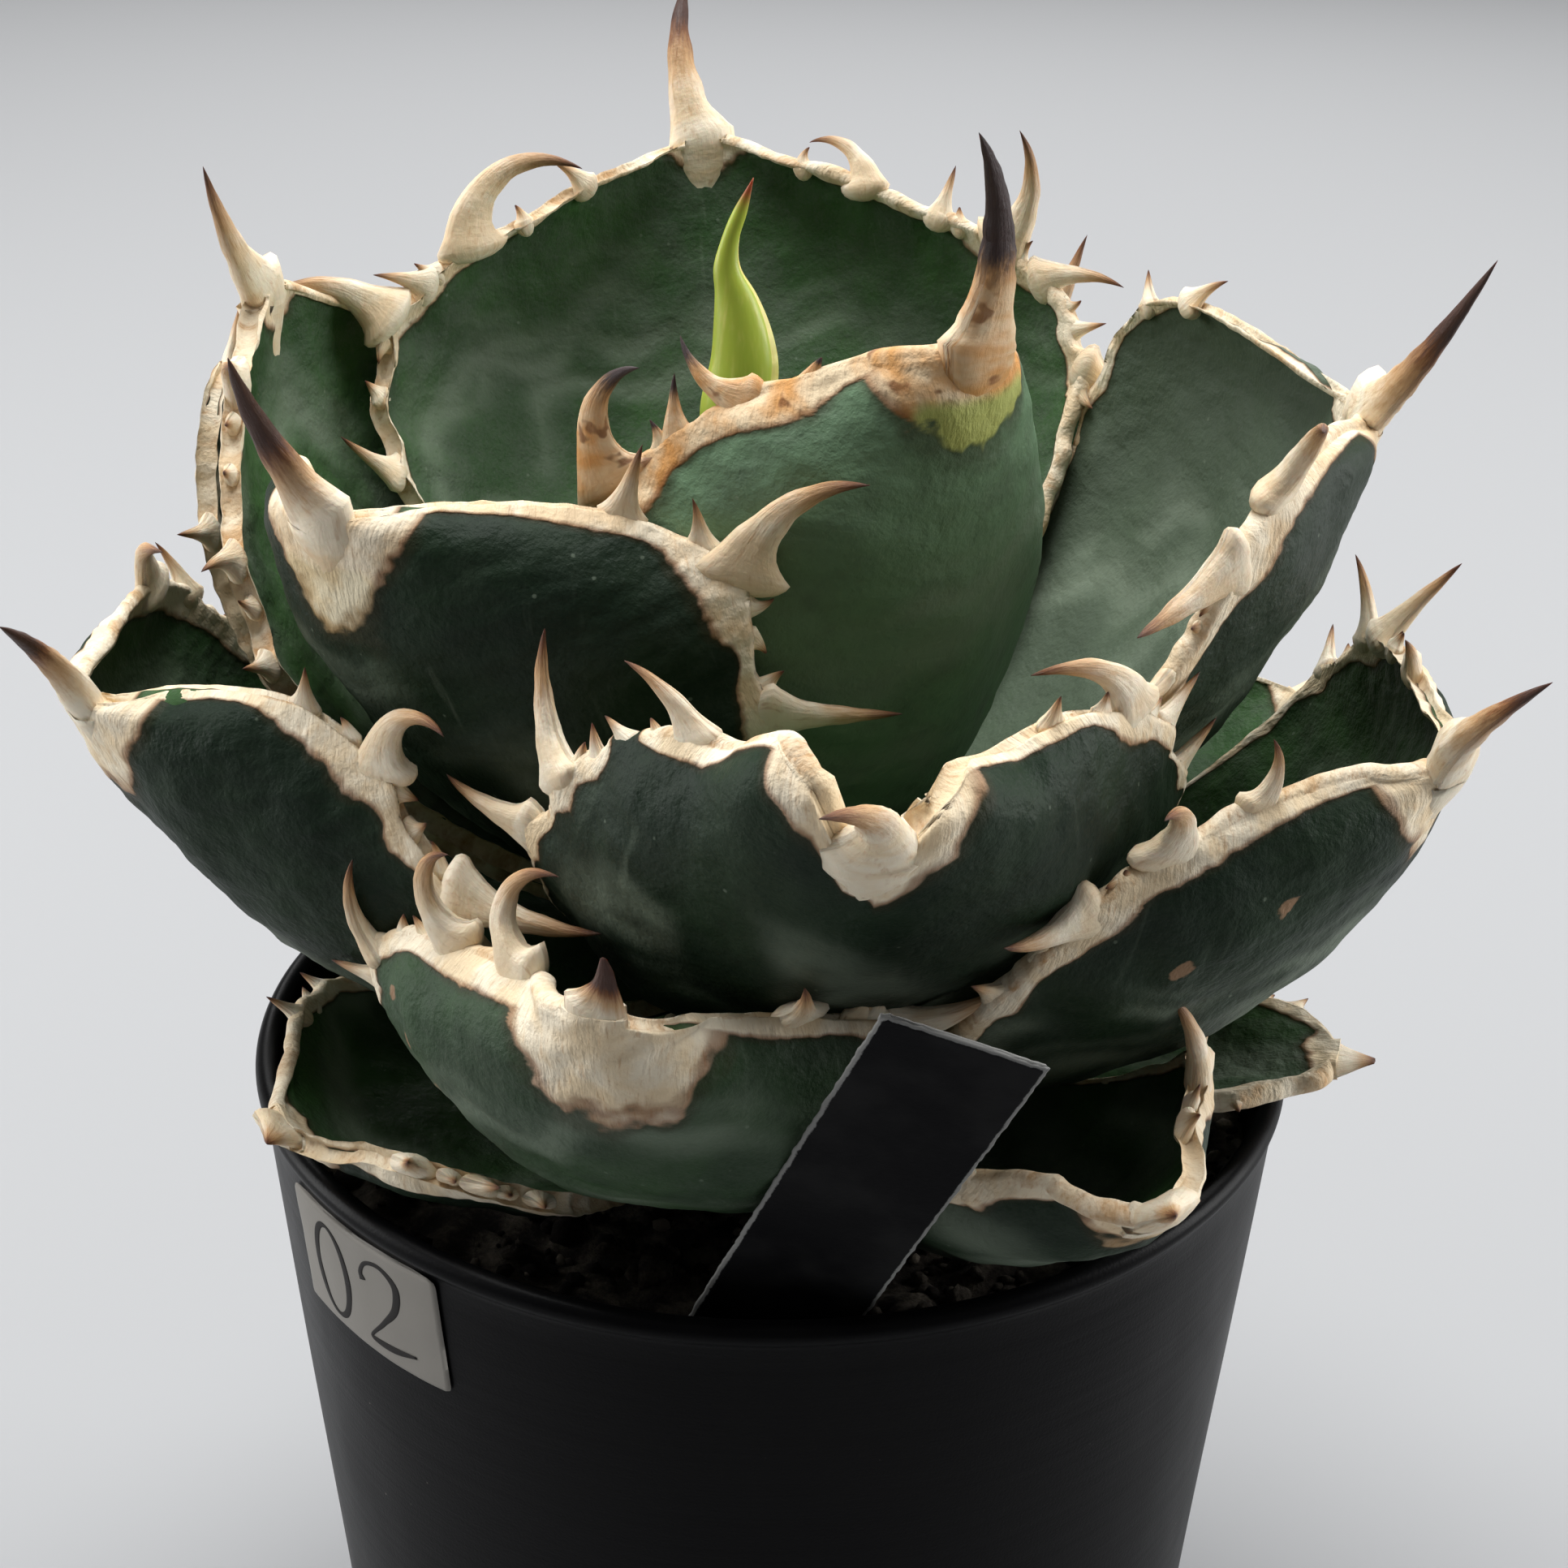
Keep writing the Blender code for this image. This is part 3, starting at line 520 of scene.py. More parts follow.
@dataclass(frozen=True)
class LeafFinish:
    """Leaf skin: deep green under a grey waxy bloom, pale imprints of its neighbours, horny margin, and
    painted shade that darkens the lower faces.
    """
    green: tuple = (0.019, 0.047, 0.017)
    light_green: tuple = (0.050, 0.128, 0.034)
    # painted shade: what the lower faces are darkened towards
    dark: tuple = (0.0085, 0.0160, 0.0105)
    bloom: tuple = (0.088, 0.112, 0.082)
    # pale bloom and painted light: reached only where the bloom value is high, mostly on leaves 1 and 4
    pale_bloom_and_light: tuple = (0.17, 0.29, 0.165)
    pale: tuple = (0.23, 0.28, 0.21)
    scar: tuple = (0.26, 0.16, 0.09)
    horn: HornColours = HornColours()

    def build(self) -> bpy.types.Material:
        """Make the material.

        Returns:
            The material.
        """
        graph = Graph("leaf_skin")
        lay, place = graph.vector("lay"), graph.place()
        broad = graph.noise(place, 42.0, 3.0, 0.6)
        cloud = graph.noise(place, 130.0, 4.0, 0.65)
        speck = graph.noise(place, 1900.0, 2.0, 0.7)
        upper = graph.field("upper")
        skin = graph.mix(graph.ramp(broad, 0.40, 0.66, 0.0, 0.75), self.green, self.light_green)
        # painted light and shade: extra light green and fuller bloom on the top faces, the lower faces
        # darkened most of the way to dark
        skin = graph.mix(graph.math("MULTIPLY", upper, 0.30), skin, self.light_green)
        underside_shade = graph.math("MULTIPLY_ADD", upper, -0.86, 0.86)
        skin = graph.mix(underside_shade, skin, self.dark)
        wax = graph.math("MULTIPLY_ADD", cloud, 0.9, graph.math("MULTIPLY", speck, 0.55))
        wax = graph.ramp(graph.math("ADD", wax, graph.field("wax")), 0.50, 1.25, 0.0, 0.85)
        wax = graph.math("MULTIPLY", wax, graph.math("MULTIPLY_ADD", upper, 0.72, 0.28))
        skin = graph.mix(wax, skin, self.bloom)
        # painted light and pale bloom: a heavy bloom value, mostly on leaves 1 and 4, turns the skin milky
        heavy = graph.math("ADD", graph.field("wax"), graph.math("MULTIPLY_ADD", cloud, 1.2, -0.6))
        skin = graph.mix(graph.ramp(heavy, 0.9, 1.7, 0.0, 0.75), skin, self.pale_bloom_and_light)
        skin = graph.mix(graph.math("MULTIPLY", graph.field("imprint"), 0.50), skin, self.pale)
        streak = graph.noise(graph.stretched(lay, (1.0, 0.09, 1.0)), 0.35, 3.0)
        skin = graph.mix(graph.ramp(streak, 0.62, 0.80, 0.0, 0.22), skin, self.pale)
        dots = graph.ramp(graph.cells(place, 210.0), 0.035, 0.075, 1.0, 0.0)
        skin = graph.mix(graph.math("MULTIPLY", dots, 0.35), skin, self.pale)
        edge = graph.math("MULTIPLY_ADD", graph.noise(lay, 0.3, 3.0, 0.5), 0.20, -0.10)
        ragged = graph.math("ADD", graph.field("horn"), edge)
        horny = graph.ramp(ragged, 0.94, 1.05, 1.0, 0.0)
        line = graph.math("MULTIPLY", graph.ramp(ragged, 0.74, 0.97), graph.ramp(ragged, 1.0, 1.22, 1.0, 0.0))
        skin = graph.mix(graph.math("MULTIPLY", graph.ramp(ragged, 1.0, 1.35, 1.0, 0.0), 0.6), skin,
                         (0.035, 0.030, 0.014))
        ridge = graph.math("MULTIPLY_ADD", graph.noise(lay, 0.22, 3.0, 0.6), 1.0, graph.field("ridge"))
        worn = graph.ramp(ridge, 1.20, 1.75, 0.0, 0.6)
        horn = self.horn.colour(graph, lay, worn, line, graph.field("youth"))
        lime = graph.math("MULTIPLY", graph.field("youth"), graph.ramp(graph.field("lime"), 0.35, 0.9))
        horn = graph.mix(lime, horn, self.horn.lime)
        colour = graph.mix(horny, skin, horn)
        colour = graph.mix(graph.ramp(graph.math("MULTIPLY_ADD", graph.noise(lay, 0.9, 3.0), 0.5,
                                                 graph.field("scar")), 0.62, 0.82), colour, self.scar)
        fine = graph.noise(place, 900.0, 3.0, 0.6)
        leather = graph.noise(place, 420.0, 2.0, 0.5)
        normal = graph.bump(fine, 0.0003, 0.7, graph.bump(leather, 0.0005, 0.6))
        normal = graph.bump(speck, 0.00012, 0.6, normal)
        fibres = graph.noise(graph.stretched(lay, (1.0, 0.2, 1.0)), 1.8, 4.0)
        normal = graph.bump(graph.math("MULTIPLY", fibres, horny), 0.0004, 0.7, normal)
        rough = graph.ramp(graph.math("ADD", cloud, graph.math("MULTIPLY", horny, 0.2)), 0.3, 0.9, 0.50, 0.66)
        return graph.finish(colour, rough, normal, Specular_IOR_Level=0.12)


@dataclass(frozen=True)
class BudFinish:
    """The rolled bud: yellow-green, orange at the tip."""
    green: tuple = (0.44, 0.54, 0.060)
    yellow: tuple = (0.85, 0.78, 0.24)
    tip: tuple = (0.30, 0.075, 0.022)

    def build(self) -> bpy.types.Material:
        """Make the material.

        Returns:
            The material.
        """
        graph = Graph("bud_skin")
        along = graph.field("along")
        place = graph.place()
        streak = graph.noise(graph.stretched(place, (1.0, 1.0, 0.08)), 900.0, 3.0)
        colour = graph.mix(graph.ramp(graph.math("ADD", streak, graph.field("edge")), 0.45, 1.1), self.green,
                           self.yellow)
        colour = graph.mix(graph.ramp(along, 0.945, 0.985), colour, self.tip)
        return graph.finish(colour, 0.42, graph.bump(streak, 0.0001, 0.6), Specular_IOR_Level=0.45,
                            Subsurface_Weight=0.15, Subsurface_Scale=0.002)


@dataclass(frozen=True)
class PotFinish:
    """Matt black moulded plastic with dust and light scuffs."""
    black: tuple = (0.0018, 0.0018, 0.0022)
    dust: tuple = (0.011, 0.011, 0.011)

    def build(self) -> bpy.types.Material:
        """Make the material.

        Returns:
            The material.
        """
        graph = Graph("pot_plastic")
        place = graph.place()
        smear = graph.noise(graph.stretched(place, (1.0, 1.0, 0.5)), 26.0, 4.0, 0.6)
        specks = graph.ramp(graph.cells(place, 260.0), 0.03, 0.06, 1.0, 0.0)
        some = graph.ramp(graph.noise(place, 55.0, 2.0), 0.55, 0.68)
        scuff = graph.noise(graph.stretched(place, (1.0, 1.0, 7.0)), 190.0, 4.0, 0.7)
        colour = graph.mix(graph.ramp(smear, 0.48, 0.80, 0.0, 0.30), self.black, self.dust)
        colour = graph.mix(graph.math("MULTIPLY", specks, graph.math("MULTIPLY", some, 0.5)), colour,
                           (0.22, 0.20, 0.17))
        colour = graph.mix(graph.ramp(scuff, 0.66, 0.80, 0.0, 0.25), colour, self.dust)
        grain = graph.noise(place, 2400.0, 2.0)
        rings = graph.noise(graph.stretched(place, (0.05, 0.05, 1.0)), 420.0, 3.0)
        normal = graph.bump(rings, 0.00018, 0.4, graph.bump(grain, 0.00007, 0.45))
        rough = graph.ramp(smear, 0.3, 0.75, 0.33, 0.46)
        return graph.finish(colour, rough, normal, Specular_IOR_Level=0.075)


@dataclass(frozen=True)
class GroundFinish:
    """Loose ground or grit: a dark and a pale colour told apart by an attribute."""
    name: str
    dark: tuple
    pale: tuple

    def build(self) -> bpy.types.Material:
        """Make the material.

        Returns:
            The material.
        """
        graph = Graph(self.name)
        place = graph.place()
        tone = graph.math("MULTIPLY_ADD", graph.noise(place, 800.0, 4.0, 0.7), 0.7, graph.field("tone"))
        colour = graph.mix(graph.ramp(tone, 0.35, 1.15), self.dark, self.pale)
        normal = graph.bump(graph.noise(place, 1500.0, 4.0, 0.7), 0.0005, 0.9)
        return graph.finish(colour, 0.93, normal, Specular_IOR_Level=0.25)


@dataclass(frozen=True)
class FilmFinish:
    """Thin printed or cut plastic: a satin face and, where an attribute says so, a pale cut edge."""
    name: str
    face: tuple
    edge: tuple
    roughness: float

    def build(self) -> bpy.types.Material:
        """Make the material.

        Returns:
            The material.
        """
        graph = Graph(self.name)
        place = graph.place()
        cloud = graph.noise(place, 90.0, 3.0)
        colour = graph.mix(graph.ramp(cloud, 0.35, 0.75, 0.0, 0.04), self.face, self.edge)
        ragged = graph.math("MULTIPLY_ADD", graph.noise(place, 700.0, 4.0, 0.7), 0.8, graph.field("cut"))
        colour = graph.mix(graph.ramp(ragged, 0.95, 1.25), colour, self.edge)
        normal = graph.bump(graph.noise(place, 1300.0, 2.0), 0.00005, 0.5)
        return graph.finish(colour, graph.ramp(cloud, 0.3, 0.8, self.roughness, self.roughness + 0.12),
                            normal, Specular_IOR_Level=0.045)


# ------------------------------------------------------------ what a leaf is
class Side(IntEnum):
    """A leaf's left or right margin, seen along the leaf with its upper face up."""
    LEFT = -1
    RIGHT = 1


LEFT, RIGHT = Side


@dataclass(frozen=True)
class Tooth:
    """A margin tooth: lengths in millimetres, angles in degrees."""
    side: Side
    at: float                # 0 at the leaf's base, 1 at its tip
    length: float
    lean: float = 0.0        # how far it starts turned towards the tip
    hook: float = 0.0        # how much further it turns that way
    tilt: float = 15.0       # how far it starts tilted towards the lower face
    curl: float = 0.0        # how much further it tilts


@dataclass(frozen=True)
class Spine:
    """The terminal spine: where it points from the tip, and how much it bends on its way."""
    length: float
    pitch: float = 0.0
    yaw: float = 0.0
    pitch_bend: float = 0.0
    yaw_bend: float = 0.0


@dataclass(frozen=True)
class Leaf:
    """One leaf: lengths in millimetres, angles in degrees, and the teeth on its margins."""
    azimuth: float
    rise: tuple              # slope of the midrib at the base and at the tip
    length: float
    width: float
    cup: float               # half the arc that the blade bends through from side to side
    spine: Spine
    teeth: tuple
    bend: float = 1.3        # above 1 the midrib turns up late
    swing: float = 0.0       # sideways bend of the midrib
    roll: float = 0.0        # turn of the blade about its midrib, base to tip
    widest: float = 0.55
    bluntness: float = 0.6   # small values give a broad blunt tip
    skew: float = 0.0        # share by which the right half is wider
    cup_base: float = 0.55
    cup_tip: float = 1.1
    thickness: float = 7.5


def plain_teeth(count: int, length: float) -> tuple:
    """Teeth of a leaf at the back: pairs down both margins, hooked towards the base in turn.

    Args:
        count: pairs of teeth.
        length: a tooth's usual length in millimetres.

    Returns:
        The teeth.
    """
    teeth = []
    for i in range(count):
        at = 0.92 - 0.4 * i / max(count - 1, 1)
        size = length * (0.75 + 0.35 * math.sin(2.1 * i + count))
        teeth.append(Tooth(RIGHT, at, size, lean=-10 + 20 * (i % 2), hook=-35))
        teeth.append(Tooth(LEFT, at - 0.03, size * 0.9, lean=-15 + 20 * ((i + 1) % 2), hook=-30))
    return tuple(teeth)


LEAVES: tuple = (
    # the innermost leaf stands in front of the bud
    Leaf(azimuth=-59, rise=(53, 86), length=95, width=88, cup=80, bend=1.25, swing=4, roll=7, widest=0.5,
         bluntness=0.7, skew=0.08, cup_base=0.6,
         spine=Spine(31, pitch=-7, yaw=-10, pitch_bend=-6, yaw_bend=55), teeth=(
             Tooth(RIGHT, 0.89, 12, lean=-55, hook=60, tilt=0, curl=-15),
             Tooth(RIGHT, 0.82, 8, lean=25, hook=20, tilt=10),
             Tooth(RIGHT, 0.74, 21, lean=7, hook=120, tilt=25), Tooth(LEFT, 0.8, 9, hook=-30),
             Tooth(LEFT, 0.64, 8, lean=-10, hook=-25))),
    # the broad leaf at the back
    Leaf(azimuth=97, rise=(23, 75), length=120, width=122, cup=63, bend=1.35, swing=5, roll=-2, widest=0.6,
         bluntness=0.85, skew=-0.02, cup_base=0.65,
         spine=Spine(30, pitch=-10, yaw=-20, pitch_bend=-25, yaw_bend=45), teeth=(
             Tooth(LEFT, 0.94, 7, lean=-30, hook=-20, tilt=10),
             Tooth(LEFT, 0.84, 25, lean=10, hook=130, tilt=5, curl=-50),
             Tooth(LEFT, 0.77, 9, lean=-25, hook=-15),
             Tooth(LEFT, 0.71, 20, lean=-10, hook=-65, tilt=20, curl=-20),
             Tooth(LEFT, 0.46, 10, lean=30, hook=20, tilt=10),
             Tooth(RIGHT, 0.92, 14, lean=25, hook=105, tilt=20, curl=-25), Tooth(RIGHT, 0.86, 8),
             Tooth(RIGHT, 0.8, 20, lean=-10, hook=60, curl=-40),
             Tooth(RIGHT, 0.73, 13, lean=-35, hook=-50, tilt=12), Tooth(RIGHT, 0.64, 6),
             Tooth(RIGHT, 0.57, 13, lean=-35, hook=-40, tilt=45))),
    # the front left inner leaf
    Leaf(azimuth=214, rise=(29, 81), length=93, width=86, cup=63, bend=1.45, swing=3, roll=16, widest=0.7,
         bluntness=0.3, skew=-0.16, spine=Spine(27, pitch=-15, yaw=25, pitch_bend=-10, yaw_bend=-55),
         teeth=(
             Tooth(LEFT, 0.95, 10, lean=-5, hook=-5), Tooth(LEFT, 0.87, 6, lean=20, hook=15),
             Tooth(LEFT, 0.8, 22, lean=45, hook=-85, tilt=30, curl=5),
             Tooth(LEFT, 0.53, 16, lean=5, hook=5, tilt=10), Tooth(RIGHT, 0.8, 9, hook=-30),
             Tooth(RIGHT, 0.62, 10, lean=-10, hook=-40))),
    # the tall leaf on the right
    Leaf(azimuth=-7, rise=(28, 74), length=103, width=108, cup=61, bend=1.2, swing=4, roll=3, widest=0.7,
         bluntness=0.25, skew=-0.12, cup_base=0.3, cup_tip=0.85,
         spine=Spine(40, pitch=5, yaw=64, pitch_bend=-10, yaw_bend=-45), teeth=(
             Tooth(RIGHT, 0.96, 20, lean=22, hook=-90, tilt=25, curl=-10),
             Tooth(RIGHT, 0.88, 20, lean=-60, hook=25, tilt=-5, curl=15), Tooth(RIGHT, 0.7, 8),
             Tooth(LEFT, 0.97, 7, lean=40, hook=30), Tooth(LEFT, 0.91, 5))),
    # the left leaf behind
    Leaf(azimuth=159, rise=(23, 88), length=111, width=82, cup=27, bend=1.35, swing=1, roll=3,
         bluntness=0.7, skew=-0.02, cup_tip=1.0,
         spine=Spine(26, pitch=5, yaw=-52, pitch_bend=-5, yaw_bend=33), teeth=(
             Tooth(LEFT, 0.93, 14, lean=-20, hook=-25, tilt=5, curl=-30),
             Tooth(LEFT, 0.74, 9, lean=-5, hook=-30), Tooth(LEFT, 0.6, 6),
             Tooth(RIGHT, 0.72, 10, lean=10, hook=-30))),
    # the front leaf with the sunken tip
    Leaf(azimuth=-82, rise=(13, 62), length=103, width=91, cup=65, bend=1.1, swing=-4, roll=-2,
         bluntness=0.3, skew=-0.1, cup_base=0.4, cup_tip=1.3,
         spine=Spine(30, pitch=-20, yaw=-8, pitch_bend=-15, yaw_bend=50), teeth=(
             Tooth(RIGHT, 0.96, 12, lean=-15, hook=-50), Tooth(RIGHT, 0.87, 4, lean=-20, hook=-15),
             Tooth(RIGHT, 0.8, 5, lean=20, hook=15),
             Tooth(RIGHT, 0.72, 18, lean=20, hook=45, tilt=3, curl=-10),
             Tooth(RIGHT, 0.56, 15, lean=-25, hook=5, tilt=23, curl=-20), Tooth(LEFT, 0.97, 4, lean=5),
             Tooth(LEFT, 0.87, 18, lean=40, hook=85, tilt=10, curl=-50),
             Tooth(LEFT, 0.78, 8, lean=-10, hook=-5), Tooth(LEFT, 0.63, 8))),
    # the narrow leaf pinched between its neighbours on the left
    Leaf(azimuth=161, rise=(13, 97), length=113, width=40, cup=15, bend=1.45, swing=-6, roll=9,
         bluntness=0.35, skew=-0.02, cup_base=0.6, cup_tip=1.0, thickness=5.0, spine=Spine(8, yaw_bend=10),
         teeth=(
             Tooth(RIGHT, 0.87, 20, lean=90, hook=-140, tilt=5, curl=-40),
             Tooth(RIGHT, 0.78, 18, lean=50, hook=-100, tilt=20, curl=-30), Tooth(LEFT, 0.82, 8))),
    # a leaf at the back
    Leaf(azimuth=62, rise=(14, 70), length=100, width=80, cup=57, spine=Spine(24, yaw_bend=15),
         teeth=plain_teeth(3, 10)),
    # the left leaf
    Leaf(azimuth=193, rise=(-4, 71), length=101, width=97, cup=57, bend=1.05, swing=7, roll=14, widest=0.6,
         bluntness=0.25, skew=0.02, cup_base=0.4, cup_tip=1.25,
         spine=Spine(27, pitch=-12, yaw=-30, pitch_bend=-10, yaw_bend=-15), teeth=(
             Tooth(LEFT, 0.95, 6), Tooth(LEFT, 0.82, 18, lean=34, hook=-125, tilt=20, curl=-10),
             Tooth(LEFT, 0.57, 21, lean=-35, hook=30),
             Tooth(RIGHT, 0.96, 18, lean=35, hook=65, tilt=0, curl=-50),
             Tooth(RIGHT, 0.88, 9, lean=45, hook=30), Tooth(RIGHT, 0.66, 9, lean=-10, hook=-30))),
    # the right leaf
    Leaf(azimuth=-30, rise=(6, 75), length=106, width=106, cup=54, swing=-5, roll=3, widest=0.6,
         bluntness=0.45, skew=-0.02, cup_base=0.45,
         spine=Spine(38, pitch=-7, yaw=52, pitch_bend=-20, yaw_bend=-25), teeth=(
             Tooth(RIGHT, 0.96, 10, lean=50, hook=-75, tilt=8, curl=-10),
             Tooth(RIGHT, 0.89, 18, lean=35, hook=-95, tilt=25, curl=10),
             Tooth(RIGHT, 0.8, 15, lean=-70, hook=60, tilt=20, curl=10), Tooth(RIGHT, 0.62, 6),
             Tooth(LEFT, 0.97, 8, lean=40, hook=10, tilt=-15, curl=-15),
             Tooth(LEFT, 0.88, 15, lean=25, hook=10, tilt=30),
             Tooth(LEFT, 0.82, 12, lean=18, hook=-20, tilt=0, curl=-20), Tooth(LEFT, 0.66, 8))),
    # a leaf at the back
    Leaf(azimuth=110, rise=(4, 60), length=110, width=79, cup=43, cup_base=0.5,
         spine=Spine(24, yaw_bend=-15), teeth=plain_teeth(4, 10)),
    # the low front leaf
    Leaf(azimuth=-102, rise=(-7, 88), length=94, width=84, cup=52, bend=1.35, swing=-5, widest=0.7,
         bluntness=1.05, skew=0.06, cup_base=0.25, cup_tip=1.55, thickness=6.0,
         spine=Spine(8, pitch=-4, yaw=-28, yaw_bend=37), teeth=(
             Tooth(RIGHT, 0.95, 20, lean=-55, hook=158, tilt=18, curl=-45),
             Tooth(RIGHT, 0.88, 19, lean=-44, hook=135, tilt=30, curl=-33),
             Tooth(RIGHT, 0.68, 14, lean=85, hook=5, tilt=35, curl=-55),
             Tooth(RIGHT, 0.6, 8, lean=10, tilt=45),
             Tooth(LEFT, 0.9, 13, lean=25, hook=10, tilt=60, curl=-25), Tooth(LEFT, 0.84, 5),
             Tooth(LEFT, 0.79, 14, lean=-10, hook=10, tilt=60, curl=-25))),
    # a leaf at the back
    Leaf(azimuth=33, rise=(0, 38), length=90, width=71, cup=45, spine=Spine(15, yaw_bend=15),
         teeth=plain_teeth(3, 9)),
    # the small leaf at the front right, resting on the mix
    Leaf(azimuth=-58, rise=(-19, 51), length=86, width=53, cup=59, bend=0.95, swing=-9, roll=6, widest=0.65,
         bluntness=0.65, skew=-0.14, cup_base=0.3, cup_tip=1.5, thickness=5.6,
         spine=Spine(17, pitch=-12, yaw=26, yaw_bend=-5), teeth=(
             Tooth(LEFT, 0.96, 6, lean=24, hook=18),
             Tooth(LEFT, 0.88, 16, lean=30, hook=5, tilt=0, curl=-25), Tooth(LEFT, 0.7, 5),
             Tooth(RIGHT, 0.83, 9, lean=34, hook=24, tilt=13), Tooth(RIGHT, 0.66, 4))),
    # a leaf at the back
    Leaf(azimuth=92, rise=(0, 40), length=98, width=60, cup=39, roll=3, spine=Spine(12, yaw_bend=-10),
         teeth=plain_teeth(3, 8)),
    # the small leaf at the front left
    Leaf(azimuth=215, rise=(-6, 39), length=63, width=62, cup=40, bend=1.45, swing=2, roll=-5,
         bluntness=0.8, cup_base=0.3, cup_tip=1.2, thickness=5.6,
         spine=Spine(11, pitch=2, yaw=-45, yaw_bend=-5), teeth=(
             Tooth(LEFT, 0.88, 10, lean=-15, hook=-10, tilt=5),
             Tooth(LEFT, 0.78, 8, lean=-13, hook=-10, tilt=5), Tooth(LEFT, 0.66, 5), Tooth(RIGHT, 0.84, 5),
             Tooth(RIGHT, 0.7, 4))),
    # the low leaf over the rim on the right
    Leaf(azimuth=-12, rise=(11, 10), length=64, width=31, cup=15, bend=1.35, swing=-4, roll=1, cup_tip=1.05,
         thickness=6.0, spine=Spine(5), teeth=(
             Tooth(LEFT, 0.88, 4), Tooth(LEFT, 0.74, 4), Tooth(RIGHT, 0.8, 3))),
    # a leaf at the back
    Leaf(azimuth=148, rise=(6, 41), length=83, width=54, cup=49, thickness=6.0,
         spine=Spine(14, yaw_bend=10), teeth=plain_teeth(3, 7)),
)


@dataclass(frozen=True)
class LeafLook:
    """How one leaf's horn and skin have aged, and the painted light on its skin. Lengths in millimetres."""
    youth: float = 0.0           # 1 for fresh orange horn, 0 for bleached horn
    margin: float = 1.7          # width of the horny band between teeth
    cap: tuple = (8.0, 8.0)      # reach of the horny cap down the lower face and to each side
    upper_cap: tuple = (5.0, 7.0)    # the same on the upper face
    scars: tuple = ()            # corky scars: place along, place across, radius
    green_gap: tuple = ()        # a stretch of margin with no horn: side, place along, half length
    shoulders: tuple = (0.0, 0.0)    # how far the right and left side of the tip stand above its middle
    burnt: float = 0.0           # how far the brown of the spine reaches down from its point
    wax: float = 0.0             # how much pale bloom covers the skin; on leaves 1 and 4 it is raised to paint the light that they catch
    lit_underside: float = 0.0           # painted light on the lower face: 1 leaves off its painted shade and gives it the top face's lighter green


LOOKS: dict = {
    # leaf 1: its strong bloom and its lit lower face are painted light where it catches light from the front
    1: LeafLook(youth=1.0, margin=2.6, cap=(12.0, 11.0), burnt=0.45, wax=1.5, lit_underside=1.0),
    2: LeafLook(youth=0.12, margin=1.3, cap=(8.0, 7.0), burnt=0.3, wax=0.12),
    3: LeafLook(youth=0.15, margin=2.8, cap=(15.0, 9.5), burnt=0.65),
    # leaf 4: its bloom is raised to paint the light on its top face
    4: LeafLook(youth=0.10, cap=(13.0, 9.0), burnt=0.3, wax=0.6),
    5: LeafLook(youth=0.05, margin=1.6),
    6: LeafLook(margin=1.3, cap=(9.0, 9.0), upper_cap=(13.0, 12.0), green_gap=(RIGHT, 0.88, 3.5),
                shoulders=(8.5, 4.0)),
    7: LeafLook(margin=1.4),
    9: LeafLook(margin=3.0, cap=(14.0, 10.0), burnt=0.3),
    10: LeafLook(margin=2.2, cap=(12.0, 9.0), burnt=0.1, scars=((0.86, 0.55, 1.2), (0.76, 0.70, 1.4))),
    # leaf 12: its lower face keeps only part of the painted shade
    12: LeafLook(margin=1.9, cap=(15.0, 13.0), burnt=0.5, wax=0.1, lit_underside=0.45,
                 scars=((0.70, 0.72, 1.2), (0.66, 0.60, 1.3), (0.74, 0.84, 1.2), (0.35, 0.42, 1.3))),
    14: LeafLook(youth=0.1, margin=1.8),
}


